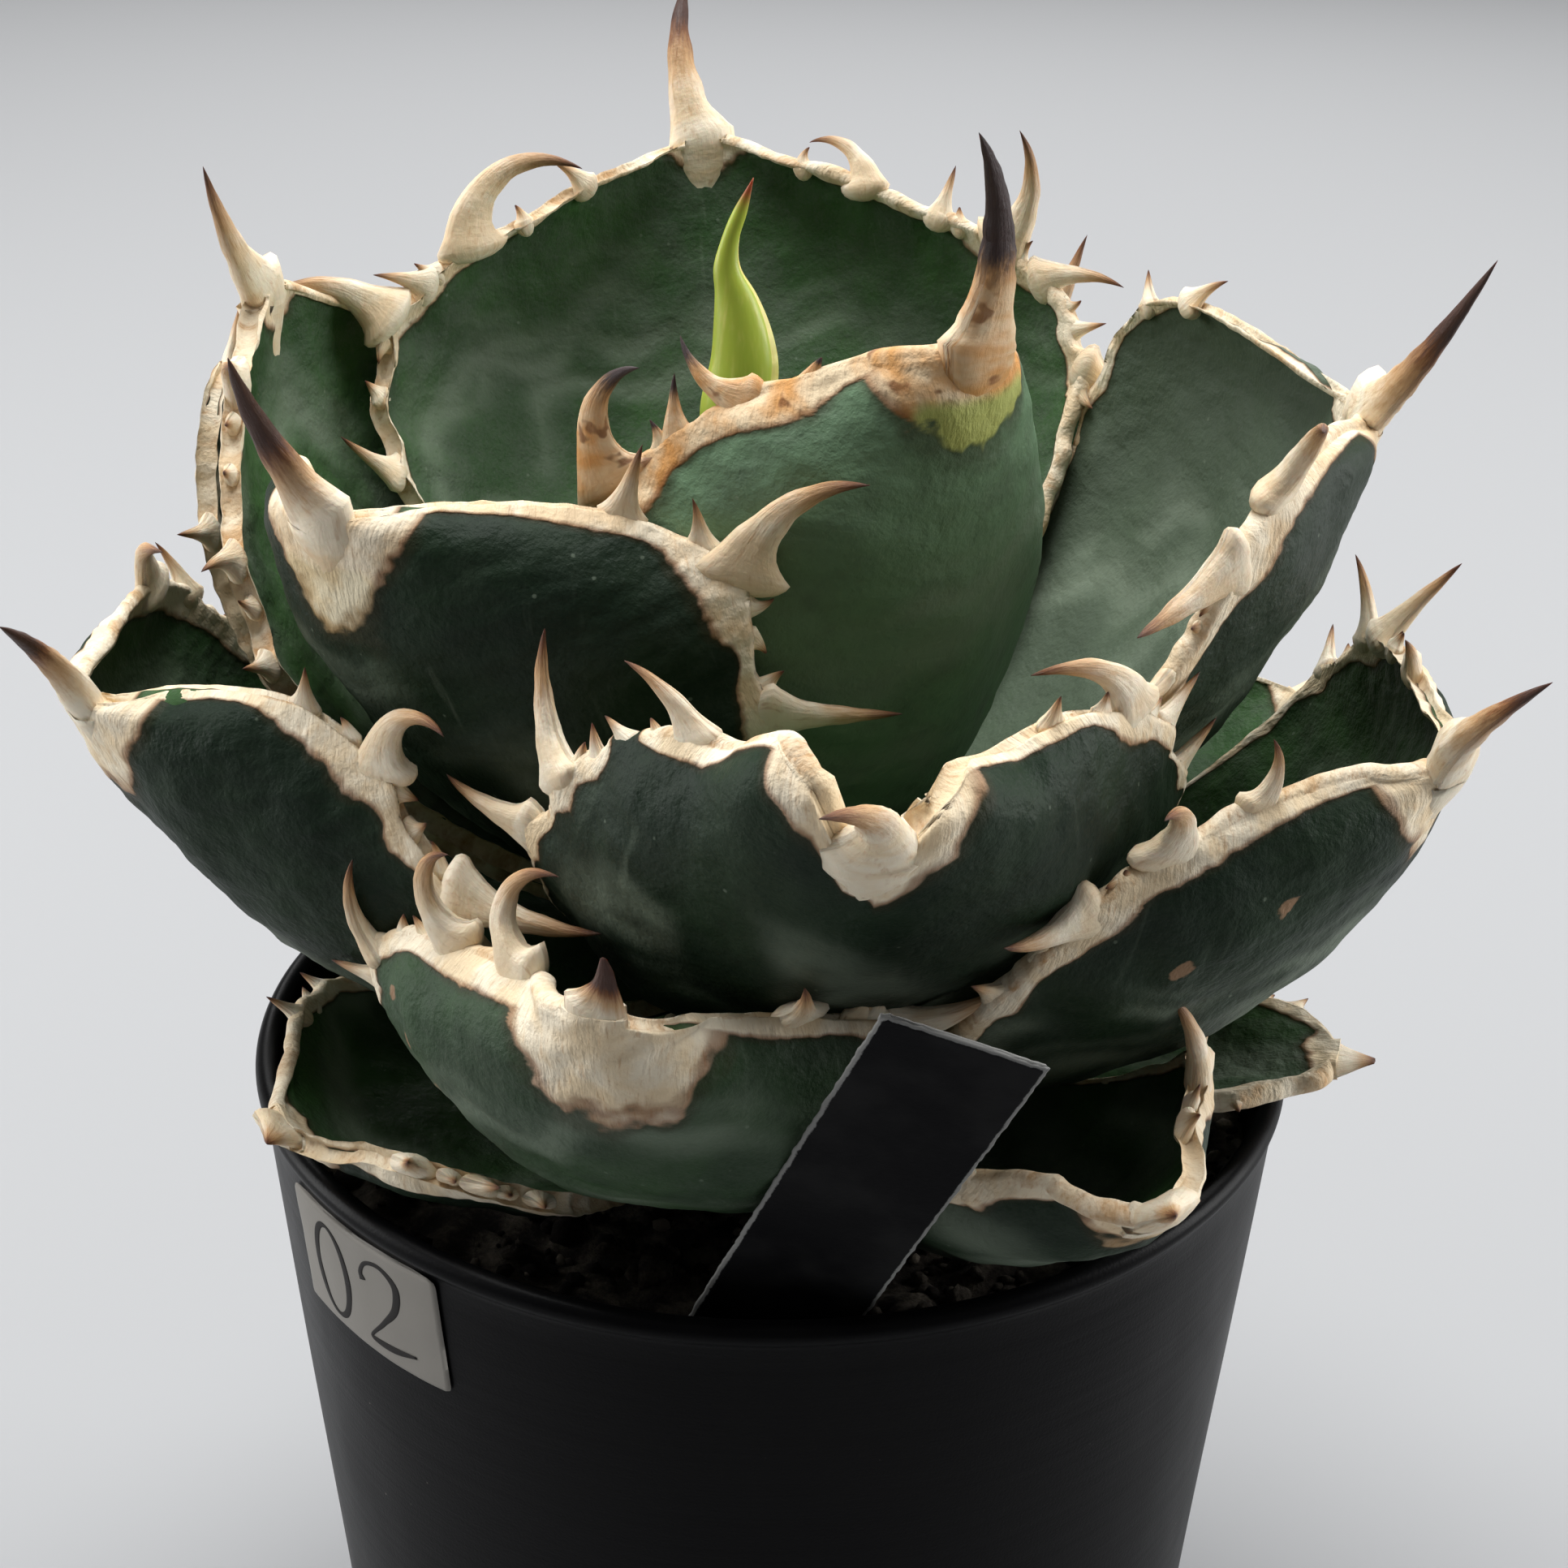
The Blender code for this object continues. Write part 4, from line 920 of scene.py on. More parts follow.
# ------------------------------------------------------------ the rosette
class AgaveLeaf:
    """One leaf: its blade as a closed surface over (along, across), and its horns as curved sweeps."""
    STATIONS = 168
    COLUMNS = 76
    EDGE_COLUMNS = 7
    HORN_SIDES = 16
    POINT = 0.03                 # least half width of a horn, mm
    BLUNT = 0.6                  # bluntness below which the stations crowd more towards the tip
    # heights of the relief, mm
    SWELLING = 0.45              # broad
    DIMPLE = 0.12
    LUMP = 0.05                  # fine
    PRESSED = 0.30               # depth of the ghost lines
    HORN_STEP = 0.24             # from the skin up to the horn
    HORN_LUMP = 0.10
    BEAD = 0.30                  # along the margin
    SCAR_RIM = 0.25

    def __init__(self, leaf: Leaf, rank: int) -> None:
        """Remember the leaf's design, its place in the rosette and its finish.

        Args:
            leaf: the design.
            rank: 0 for the innermost leaf.
        """
        self.leaf = leaf
        self.rank = rank
        self.number = rank + 1
        self.look = LOOKS.get(self.number, LeafLook())
        self.rng = np.random.default_rng(4100 + rank)

    def midrib(self, s: np.ndarray) -> tuple:
        """Point, tangent, upper normal and right-hand direction of the midrib.

        The slope goes from its base value to its tip value with a power of s, the heading swings
        with s to the 1.5, and the point is the running sum of the tangent.

        Args:
            s: place along the leaf, 0 to 1, any shape.

        Returns:
            Four arrays of the shape of s by 3.
        """
        leaf = self.leaf
        steps = np.linspace(0.0, 1.0, 201)
        slope = np.radians(leaf.rise[0] + (leaf.rise[1] - leaf.rise[0]) * steps ** leaf.bend)
        heading = np.radians(leaf.azimuth + leaf.swing * steps ** 1.5)
        flat = np.stack([np.cos(heading), np.sin(heading), np.zeros(201)], -1)
        up = np.array([0.0, 0.0, 1.0])
        tangent = np.cos(slope)[:, None] * flat + np.sin(slope)[:, None] * up
        normal = np.cos(slope)[:, None] * up - np.sin(slope)[:, None] * flat
        right = np.cross(tangent, normal)
        turn = np.radians(leaf.roll) * steps[:, None]
        normal = normal * np.cos(turn) + right * np.sin(turn)
        right = np.cross(tangent, normal)
        radius = INNERMOST_BASE[0] + STEM_FLARE * self.rank
        start = np.append(flat[0, :2] * radius, POT_HEIGHT + INNERMOST_BASE[1] - LEAF_STEP * self.rank)
        walk = np.cumsum((tangent[1:] + tangent[:-1]) / 2 * leaf.length / 200, axis=0)
        point = start + np.concatenate([np.zeros((1, 3)), walk])
        return tuple(np.stack([np.interp(s, steps, field[:, k]) for k in range(3)], -1)
                     for field in (point, tangent, normal, right))

    def half_width(self, s: np.ndarray, u: np.ndarray) -> np.ndarray:
        """Half width: a neck widening with a power of s, a blunt tip, and a rise under each tooth.

        Args:
            s: place along the leaf.
            u: place across it, -1 to 1.

        Returns:
            Millimetres from the midrib to the margin on that side.
        """
        leaf = self.leaf
        below = 1 - (1 - NECK) * np.clip((leaf.widest - s) / leaf.widest, 0, 1) ** 1.6
        above = (1 - np.clip((s - leaf.widest) / (1 - leaf.widest), 0, 1) ** 2.2) ** leaf.bluntness
        width = leaf.width / 2 * np.where(s < leaf.widest, below, above) * (1 + leaf.skew * np.sign(u))
        for tooth in leaf.teeth:
            reach = 3.0 + 0.12 * tooth.length
            rise = 0.7 + 0.07 * tooth.length
            near = hill((s - tooth.at) * leaf.length / reach)
            width = width + rise * near * np.where(np.sign(u) == tooth.side, np.abs(u) ** 4, 0)
        uneven = 0.55 * waves(40 + self.rank, 9, 15.0, s * leaf.length, np.sign(u) * 30.0)
        width = width + uneven * np.abs(u) ** 4 * smooth_step(s, 0.2, 0.5) * (1 - smooth_step(s, 0.95, 1.0))
        return np.maximum(width, TIP_HALF_WIDTH)

    def thickness(self, s: np.ndarray, u: np.ndarray) -> np.ndarray:
        """Thickness: greatest at the midrib, falling with |u| to the 2.4 and towards the tip.

        Args:
            s: place along the leaf.
            u: place across it.

        Returns:
            Millimetres.
        """
        middle = self.leaf.thickness * (1 - 0.62 * s ** 1.3) * np.clip(0.6 + 1.6 * s, 0, 1)
        edge = np.minimum(MARGIN_THICKNESS, middle)
        return edge + (middle - edge) * (1 - np.abs(u) ** 2.4)

    def surface(self, s: np.ndarray, u: np.ndarray, depth: np.ndarray, out: np.ndarray) -> np.ndarray:
        """Points of the blade: an arc across the leaf whose angle is the cup, carried by the midrib.

        Args:
            s: place along the leaf.
            u: place across it, -1 to 1.
            depth: distance below the upper face, square to it.
            out: distance beyond the margin, along the face.

        Returns:
            Points in millimetres, the shape of s by 3.
        """
        leaf = self.leaf
        point, tangent, normal, right = self.midrib(s)
        width = self.half_width(s, u)
        cup = np.radians(leaf.cup) * (leaf.cup_base + (leaf.cup_tip - leaf.cup_base) * s)
        cup = cup * np.clip(width / TIP_FLAT_WIDTH, 0.2, 1.0)
        side, high = np.sin(cup * u), np.cos(cup * u)
        across = width / cup * side + side * depth + high * out
        up = width / cup * (1 - high) - high * depth + side * out
        right_lift, left_lift = self.look.shoulders
        if right_lift or left_lift:
            x = np.abs(u) * width
            shoulder = smooth_step(x, 2.0, 6.0) * (1 - smooth_step(x, 10, 21)) * smooth_step(s, 0.78, 0.98)
            point = point + tangent * (np.where(u > 0, right_lift, left_lift) * shoulder)[..., None]
        return point + right * across[..., None] + normal * up[..., None]

    def horn_share(self, s: np.ndarray, u: np.ndarray, lower: bool) -> np.ndarray:
        """How far the skin is from being horn: distance from the margin over the band's width, or
        distance from the tip over the cap's reach, whichever is less, with a ragged edge.

        Args:
            s: place along the leaf.
            u: place across it.
            lower: True for the lower face, whose cap is larger.

        Returns:
            Below 1 where it is horn.
        """
        leaf, look = self.leaf, self.look
        width = self.half_width(s, u)
        x, y = u * width, s * leaf.length
        rim = (1 - np.abs(u)) * width
        band = look.margin * (0.35 + 0.65 * smooth_step(s, 0.25, 0.8))
        band = band * (1 + 0.28 * waves(50 + self.rank, 8, 16.0, y, np.sign(u) * 9.0))
        for tooth in leaf.teeth:
            near = hill((s - tooth.at) * leaf.length / (1.6 + 0.16 * tooth.length))
            band = band + 0.15 * tooth.length * near * (np.sign(u) == tooth.side)
        share = rim / np.maximum(band, 0.4)
        long, wide = look.cap if lower else look.upper_cap
        cap = (1 - s) * leaf.length / long + (np.abs(x) / wide) ** 2 * 0.6
        share = np.minimum(share, cap + 0.10 * waves(80 + self.rank, 8, 10.0, x, y))
        if look.green_gap:
            side, at, half = look.green_gap
            gap = hill((s - at) * leaf.length / half) * (np.sign(u) == side)
            share = share + 1.4 * gap
        share = share + 0.7 * (1 - smooth_step(s, 0.12, 0.3))
        return share + 0.04 * waves(90 + self.rank, 10, 3.2, x, y)

    def imprint(self, s: np.ndarray, u: np.ndarray, seed: int) -> np.ndarray:
        """Ghost lines that neighbouring leaves pressed in: wavy arches, each a band about an ellipse.

        Args:
            s: place along the leaf.
            u: place across it.
            seed: fixes where the ellipses lie.

        Returns:
            0 where there is none, up to 1 on a line.
        """
        rng = np.random.default_rng(seed)
        width = self.half_width(s, u)
        x, y = u * width, s * self.leaf.length
        total = np.zeros(s.shape)
        for _ in range(3):
            middle = np.array([rng.uniform(-0.3, 0.3) * self.leaf.width / 2,
                               rng.uniform(0.1, 0.5) * self.leaf.length])
            size = rng.uniform(0.24, 0.42) * self.leaf.width, rng.uniform(0.24, 0.42) * self.leaf.length
            angle = np.arctan2((y - middle[1]) / size[1], (x - middle[0]) / size[0])
            radius = np.hypot((x - middle[0]) / size[0], (y - middle[1]) / size[1])
            radius = radius + 0.07 * np.sin(7 * angle + rng.uniform(0, 6)) + 0.04 * np.sin(13 * angle)
            band = hill((radius - 1) * size[0] / 3.0) + 0.35 * hill((radius - 1.16) * size[0] / 1.6)
            fade = smooth_step(waves(seed + 5, 6, 34.0, x, y), -1.1, 0.5)
            fade = fade * smooth_step(np.sin(angle), -0.5, 0.2)
            total = np.maximum(total, band * fade)
        return total

    def blade(self) -> Shell:
        """The blade as one closed body, with the horny bead round its margin.

        Each ring runs over the upper face, round the right-hand bead, back over the lower face and
        round the left-hand bead. Relief along the surface's own normal is a sum of broad swellings,
        fine swellings, pressed ghost lines and the thickness of the horn.

        Returns:
            The closed surface and its attributes.
        """
        leaf = self.leaf
        share = np.linspace(0, 1, self.STATIONS)
        stations = 1 - (1 - share) ** (2.0 if leaf.bluntness < self.BLUNT else 1.4)
        t = np.linspace(-1, 1, self.COLUMNS)
        face_u = 0.5 * t + 0.5 * np.sin(t * math.pi / 2)
        turn = np.radians(np.linspace(90, -90, self.EDGE_COLUMNS + 2)[1:-1])
        s, u = np.meshgrid(stations, face_u, indexing="ij")
        flat = np.zeros_like(s)
        thick = self.thickness(s, u)
        width = self.half_width(s, u)
        bead = self.BEAD * hill((1 - np.abs(u)) * width / 1.9) * smooth_step(s, 0.05, 0.25)
        sheets = []
        for lower in (False, True):
            depth = thick + bead if lower else -bead
            grid = self.surface(s, u, depth, flat)
            normals = grid_normals(grid) * (-1 if lower else 1)
            x, y = u * width, s * leaf.length
            horn = self.horn_share(s, u, lower)
            mark = self.imprint(s, u, 300 + 2 * self.rank + lower)
            scar = np.zeros_like(s)
            for along, across, radius in (self.look.scars if lower else ()):
                far = np.hypot((u - across) * width, (s - along) * leaf.length * 0.55) / radius
                scar = np.maximum(scar, 1.25 - far)
            seed = 600 + 10 * self.rank + 5 * lower
            inside = smooth_step(1 - np.abs(u), 0.0, 0.12) * smooth_step(s, 0.0, 0.15)
            relief = self.SWELLING * waves(seed, 9, 27.0, x, y)
            relief = relief + self.DIMPLE * waves(seed + 1, 10, 8.0, x, y)
            relief = relief + self.LUMP * waves(seed + 2, 12, 3.6, x, y) - self.PRESSED * mark
            relief = relief * inside + self.HORN_STEP * (1 - smooth_step(horn, 0.80, 1.12))
            relief = relief + self.HORN_LUMP * waves(seed + 3, 10, 4.5, x, y) * (horn < 1)
            relief = relief + self.SCAR_RIM * hill((scar - 0.35) / 0.3) * (scar > 0)
            # painted shade on a lower face, lifted by as much painted light as its look gives
            lit_underside = self.look.lit_underside if lower else 1.0
            lime = smooth_step((1 - s) * leaf.length, 3.0, 8.0) * (1 - smooth_step(np.abs(x), 6.0, 10.0))
            sheets.append({"grid": grid + normals * relief[..., None], "horn": horn, "imprint": mark,
                           "scar": np.clip(scar, 0, 1), "upper": np.full_like(s, lit_underside), "x": x, "y": y,
                           "z": thick * lower, "ridge": hill((1 - np.abs(u)) * width / 0.9),
                           "lime": lime * lower})
        edges = []
        for side, top, bottom in ((1, 0, 1), (-1, 1, 0)):
            column = -1 if side > 0 else 0
            first, second = sheets[top]["grid"][:, column], sheets[bottom]["grid"][:, column]
            middle, half = (first + second) / 2, (first - second) / 2
            out = side * unit(np.cross(np.gradient(middle, axis=0), half))
            wander = 1.0 + 0.30 * waves(700 + self.rank + side, 10, 6.0, stations * leaf.length)
            reach = out * (wander * (0.15 + 0.85 * smooth_step(stations, 0.04, 0.2)))[:, None]
            edges.append(middle[:, None] + half[:, None] * np.sin(turn)[:, None]
                         + reach[:, None] * np.cos(turn)[:, None])
        ring = np.concatenate([sheets[0]["grid"], edges[0], sheets[1]["grid"][:, ::-1], edges[1]], axis=1)

        def round_ring(key: str) -> np.ndarray:
            """An attribute carried round the ring, passing evenly from face to face on the beads.

            Args:
                key: its name in the two sheets.

            Returns:
                The values, stations by columns of the ring.
            """
            top, low = sheets[0][key], sheets[1][key]
            part = np.linspace(0, 1, self.EDGE_COLUMNS + 2)[1:-1]
            right = top[:, -1:] * (1 - part) + low[:, -1:] * part
            left = low[:, :1] * (1 - part) + top[:, :1] * part
            return np.concatenate([top, right, low[:, ::-1], left], axis=1)

        shell = Shell()
        upper = round_ring("upper")
        lay = np.stack([round_ring("x"), round_ring("y"), round_ring("z") + self.rank * 140.0], -1)
        shell.tube(ring, horn=round_ring("horn"), ridge=round_ring("ridge"), lime=round_ring("lime"),
                   imprint=round_ring("imprint"), scar=round_ring("scar"),
                   upper=upper, lay=lay, youth=np.full_like(upper, self.look.youth),
                   wax=np.full_like(upper, self.look.wax))
        return shell

    def horn(self, shell: Shell, centres: np.ndarray, frame: tuple, wide: np.ndarray, deep: np.ndarray,
             along: np.ndarray, length: float, burnt: float = 0.0) -> None:
        """Add a horn: an ellipse carried along a path, fluted and a little uneven.

        Args:
            shell: what it is added to.
            centres: the path, rows by 3.
            frame: heading, sideways and upward directions, rows by 3 each.
            wide: half width along sideways, one for each row.
            deep: half thickness along upward.
            along: 0 at the foot, 1 at the point, below 0 inside the leaf.
            length: the horn's length.
            burnt: how far its brown point reaches down.
        """
        heading, sideways, upward = frame
        seed = int(self.rng.integers(1, 9000))
        theta = np.linspace(0, 2 * math.pi, self.HORN_SIDES, endpoint=False)
        uneven = waves(seed, 6, 5.0, along[:, None] * length, 3 * np.cos(theta)[None])
        flutes = 1 + 0.035 * np.sin(5 * theta + seed)[None] + 0.05 * uneven
        groove = 1 - 0.22 * hill((theta - math.pi / 2) / 0.5)[None] * (1 - np.clip(along, 0, 1))[:, None]
        across = np.cos(theta)[None] * wide[:, None] * flutes
        up = np.sin(theta)[None] * deep[:, None] * flutes * groove
        grid = centres[:, None] + sideways[:, None] * across[..., None] + upward[:, None] * up[..., None]
        flip = float(np.dot(np.cross(heading[0], sideways[0]), upward[0])) < 0
        rounds = np.broadcast_to(theta[None] * 2.0, across.shape)
        ones = np.ones_like(across)
        lay = np.stack([rounds, along[:, None] * length * ones, ones * seed], -1)
        browned = np.clip(along * (1 + burnt) + burnt * 0.4, 0, 1.2)
        shell.tube(grid, flip, lay=lay, along=browned[:, None] * ones, youth=ones * self.look.youth)

    def swept(self, start: np.ndarray, axes: tuple, length: float, angles: tuple, bends: tuple,
              along: np.ndarray) -> tuple:
        """Path of a horn: the heading turns evenly, and the path is its running sum.

        Args:
            start: the foot.
            axes: first, second and third direction, square to each other.
            length: the horn's length.
            angles: turn towards the second and the third direction at the foot, degrees.
            bends: how much each turn grows by the point.
            along: places from below 0 to 1.

        Returns:
            Centres, and the frame of heading, sideways and upward directions.
        """
        first, second, third = axes
        inside = np.clip(along, 0, 1)
        turn = np.radians(angles[0] + bends[0] * inside)[:, None]
        tilt = np.radians(angles[1] + bends[1] * inside)[:, None]
        level = np.cos(turn) * first + np.sin(turn) * second
        heading = np.cos(tilt) * level + np.sin(tilt) * third
        sideways = -np.sin(turn) * first + np.cos(turn) * second
        upward = -np.sin(tilt) * level + np.cos(tilt) * third
        steps = np.diff(along)[:, None] * (heading[1:] + heading[:-1]) / 2 * length
        walk = np.concatenate([np.zeros((1, 3)), np.cumsum(steps, axis=0)])
        foot = int(np.argmin(np.abs(along)))
        return start + walk - walk[foot], (heading, sideways, upward)

    def tooth(self, shell: Shell, tooth: Tooth) -> None:
        """Add a margin tooth: a flared foot in the bead, then a curved and flattened horn.

        Half width falls from the foot to the point with the power 0.8 of what is left, and a term that
        fades within a few millimetres flares the foot.

        Args:
            shell: what it is added to.
            tooth: its design.
        """
        s, side = np.array([tooth.at]), np.array([float(tooth.side)])
        step = np.array([0.004])
        thick = self.thickness(s, side)
        zero = np.zeros(1)
        start = self.surface(s, side, thick / 2, zero)[0]
        before = self.surface(s - step, side, thick / 2, zero)
        after = self.surface(s + step, side, thick / 2, zero)
        along = unit(after - before)[0]
        up = (self.surface(s, side, zero, zero) - self.surface(s, side, thick, zero))[0]
        up = unit(up - along * np.dot(up, along))
        out = np.cross(along, up) * tooth.side
        root = 2.4 / tooth.length
        places = np.concatenate([-root * np.array([1.0, 0.85, 0.6, 0.3]),
                                 1 - (1 - np.linspace(0, 1, 22)) ** 1.15])
        centres, frame = self.swept(start, (out, along, -up), tooth.length, (tooth.lean, tooth.tilt),
                                    (tooth.hook, tooth.curl), places)
        inside = np.clip(places, 0, 1)
        foot = np.exp(-inside * tooth.length / (0.8 + 0.09 * tooth.length))
        wide = (0.35 + 0.105 * tooth.length) * (1 - inside) ** 0.8 + (0.8 + 0.11 * tooth.length) * foot
        deep = (0.50 + 0.075 * tooth.length) * (1 - inside) ** 0.7 + 0.35 * foot
        ends = np.where(inside >= 1, 0.02, np.sqrt(1.04 - np.clip(-places / root, 0, 1) ** 2))
        wide, deep = np.maximum(wide * ends, self.POINT), np.maximum(deep * ends, self.POINT)
        self.horn(shell, centres, frame, wide, deep, places, tooth.length)

    def nubs(self) -> list:
        """Small teeth beside the great ones and in the gaps between them.

        Returns:
            The teeth.
        """
        leaf = self.leaf
        made = []
        for side in Side:
            places = sorted((tooth.at, tooth.length) for tooth in leaf.teeth if tooth.side == side)
            for at, length in places:
                if length >= 12 and at < 0.94:
                    shift = float(self.rng.choice((-1, 1))) * (2.2 + 0.16 * length) / leaf.length
                    made.append(Tooth(side, at + shift, float(self.rng.uniform(2.4, 4.2)),
                                      float(np.sign(shift)) * 25, float(self.rng.uniform(-70, 70)), 10))
            for (low, _), (high, _) in zip(places, places[1:]):
                if high - low > 0.085:
                    made.append(Tooth(side, (low + high) / 2 + float(self.rng.uniform(-0.01, 0.01)),
                                      float(self.rng.uniform(1.8, 3.4)), float(self.rng.uniform(-30, 30)),
                                      float(self.rng.uniform(-50, 50)), 12))
        return made

    def spine(self, shell: Shell) -> None:
        """Add the spine: a keel that rises out of the blade and runs on as a curved, grooved point.

        Args:
            shell: what it is added to.
        """
        leaf, spine = self.leaf, self.leaf.spine
        reach = min(11.0, 0.5 * spine.length + 3)
        below = np.linspace(-reach, 0, 9)[:-1]
        s = 1 + below / leaf.length
        point, tangent, normal, right = self.midrib(np.append(s, 1.0))
        thick = self.thickness(np.append(s, 1.0), np.zeros(9))
        core = point - normal * thick[:, None] / 2
        along = 1 - (1 - np.linspace(0, 1, 30)) ** 1.15
        centres, frame = self.swept(core[-1], (tangent[-1], right[-1], normal[-1]), spine.length,
                                    (spine.yaw, spine.pitch), (spine.yaw_bend, spine.pitch_bend), along)
        centres = np.concatenate([core[:-1], centres])
        frame = tuple(np.concatenate([start[:-1], rest]) for start, rest in
                      zip((tangent, right, normal), frame))
        distance = np.concatenate([below, along * spine.length])
        inside = np.clip(distance / spine.length, 0, 1)
        foot = np.exp(-np.maximum(distance, 0) / 3.5)
        rise = smooth_step(distance, -reach, 0)
        size = min(3.3, 0.075 * spine.length + 1.0)
        wide = (size * (1 - inside) ** 0.8 + 2.6 * foot) * np.sqrt(0.02 + 0.98 * rise)
        deep = 0.8 * size * (1 - inside) ** 0.75 + 0.35 * foot
        buried = np.append(thick[:-1] / 2 - 0.5, deep[8:])
        deep = np.where(distance < 0, buried + (deep - buried) * rise, deep)
        point = np.where(inside >= 1, 0.02, 1.0)
        wide, deep = np.maximum(wide * point, self.POINT), np.maximum(deep * point, self.POINT)
        self.horn(shell, centres, frame, wide, deep, distance / spine.length, spine.length, self.look.burnt)

    def build(self, skin: bpy.types.Material, horn: bpy.types.Material) -> None:
        """Make the blade and, as a second piece, its teeth and spine.

        Args:
            skin: the blade's finish.
            horn: the finish of teeth and spine.
        """
        self.blade().piece(f"blade_{self.number:02d}", skin, "leaf", f"leaf_{self.number:02d}")
        shell = Shell()
        for tooth in (*self.leaf.teeth, *self.nubs()):
            self.tooth(shell, tooth)
        self.spine(shell)
        shell.piece(f"horns_{self.number:02d}", horn, "horn")


@dataclass(frozen=True)
class Bud:
    """The newest leaf, still rolled up: an oval tube about a leaning line, with a spiral overlap."""
    # height above the rim, x and y of the middle, radius
    knots: tuple = ((30.0, 0.0, 0.0, 4.6), (48.0, -0.6, 0.8, 5.8), (70.0, -2.8, 2.2, 6.0),
                    (86.0, -5.0, 3.8, 5.4), (93.0, -5.6, 4.2, 4.9), (99.5, -4.9, 4.6, 4.2),
                    (104.0, -5.3, 5.0, 3.5), (108.0, -6.1, 5.2, 2.6), (111.5, -7.2, 5.2, 1.7),
                    (114.7, -6.9, 5.2, 1.2), (119.0, -5.5, 5.2, 0.95), (123.5, -3.8, 5.0, 0.05))
    flatness: float = 0.8
    wrap: float = 2.6            # radians that the overlap turns on its way up

    def build(self, skin: bpy.types.Material) -> None:
        """Make the bud: radius from the knots, plus a step that fades round the ring from the seam.

        Args:
            skin: its finish.
        """
        low, high = self.knots[0][0], self.knots[-1][0]
        height = np.linspace(low, high, 170)
        x, y, radius = smooth_line(self.knots, height).T
        theta = np.linspace(0, 2 * math.pi, 72, endpoint=False)
        share = (height - low) / (high - low)
        around = (theta[None] - (-2.2 + self.wrap * share[:, None])) % (2 * math.pi)
        lap = 0.13 * np.exp(-around / 1.1) - 0.05 * hill((around - 2 * math.pi) / 0.25)
        second = (theta[None] - (0.6 + self.wrap * share[:, None])) % (2 * math.pi)
        lap = lap + 0.08 * np.exp(-second / 0.8)
        size = np.maximum(radius, 0.05)[:, None] * (1 + lap * (1 - share[:, None] ** 6))
        middle = np.stack([x, y, 0 * x], -1)[:, None]
        grid = middle + turned(size, POT_HEIGHT + height, theta) * [1.0, self.flatness, 1.0]
        edge = np.maximum(hill(around / 0.16), hill((around - 2 * math.pi) / 0.10))
        shell = Shell()
        shell.tube(grid, along=np.broadcast_to(share[:, None], size.shape), edge=edge)
        shell.piece("bud", skin, "bud", "bud_spear")


@dataclass(frozen=True)
class Stem:
    """The short stem under the leaves: a turned body with a ridge at each leaf's foot."""
    top: float = 29.5            # above the rim
    foot: float = 22.0           # depth in the mix

    def build(self, skin: bpy.types.Material) -> None:
        """Make the stem: radius grows evenly downwards, with a wave for each leaf scar.

        Args:
            skin: its finish.
        """
        ranks = len(LEAVES)
        height = np.linspace(self.top, MIX_TOP - self.foot - POT_HEIGHT, 140)
        rank = np.clip((INNERMOST_BASE[1] - height) / LEAF_STEP, 0, ranks - 1)
        radius = INNERMOST_BASE[0] + STEM_FLARE * rank - STEM_CLEARANCE - 0.5
        radius = radius + 0.25 * np.sin(rank * 2 * math.pi) * (rank < ranks - 1)
        radius = radius * np.clip((self.top - height) / 2.0, 0.05, 1) ** 0.5
        radius = radius - 8 * smooth_step(-height, -(MIX_TOP - self.foot + 6 - POT_HEIGHT), self.foot + 15)
        theta = np.linspace(0, 2 * math.pi, 96, endpoint=False)
        rough = 0.2 * waves(21, 12, 4.0, 8 * np.cos(theta)[None], 8 * np.sin(theta)[None], height[:, None])
        size = radius[:, None] - 0.3 + rough
        grid = turned(size, POT_HEIGHT + height, theta)
        shell = Shell()
        tone = 0.35 + 0.3 * np.sin(rank * 2 * math.pi)[:, None] + 0 * size
        shell.tube(grid[::-1], tone=tone[::-1])
        shell.piece("stem_skin", skin, "stem", "stem")


# ------------------------------------------------------------ the pot and what fills it
def outer_radius(height: np.ndarray) -> np.ndarray:
    """Radius of the pot's outer wall at a height above the ground."""
    return RIM_DIAMETER / 2 - 0.6 - (POT_HEIGHT - height) * math.tan(math.radians(WALL_TAPER))


def filleted(corners: tuple, steps: int = 6) -> np.ndarray:
    """A profile line with rounded corners.

    Args:
        corners: rows of radius, height and how far the rounding reaches from the corner.
        steps: points on each rounding, which is a quadratic curve.

    Returns:
        Rows of radius and height.
    """
    rows = [corners[0][:2]]
    for before, corner, after in zip(corners, corners[1:], corners[2:]):
        here, reach = np.array(corner[:2]), corner[2]
        if reach == 0:
            rows.append(tuple(here))
            continue
        first = here + unit(np.array(before[:2]) - here) * reach
        last = here + unit(np.array(after[:2]) - here) * reach
        t = np.linspace(0, 1, steps)[:, None]
        rows += [tuple(row) for row in first * (1 - t) ** 2 + here * 2 * t * (1 - t) + last * t * t]
    rows.append(corners[-1][:2])
    return np.array(rows)


def divided(profile: np.ndarray, longest: float) -> np.ndarray:
    """The same line with more points.

    Args:
        profile: rows of radius and height.
        longest: the points are no further apart than this.

    Returns:
        Rows of radius and height.
    """
    rows = [profile[:1]]
    for first, last in zip(profile, profile[1:]):
        count = max(1, math.ceil(float(np.linalg.norm(last - first)) / longest))
        rows.append(first + (last - first) * (np.arange(1, count + 1) / count)[:, None])
    return np.concatenate(rows)


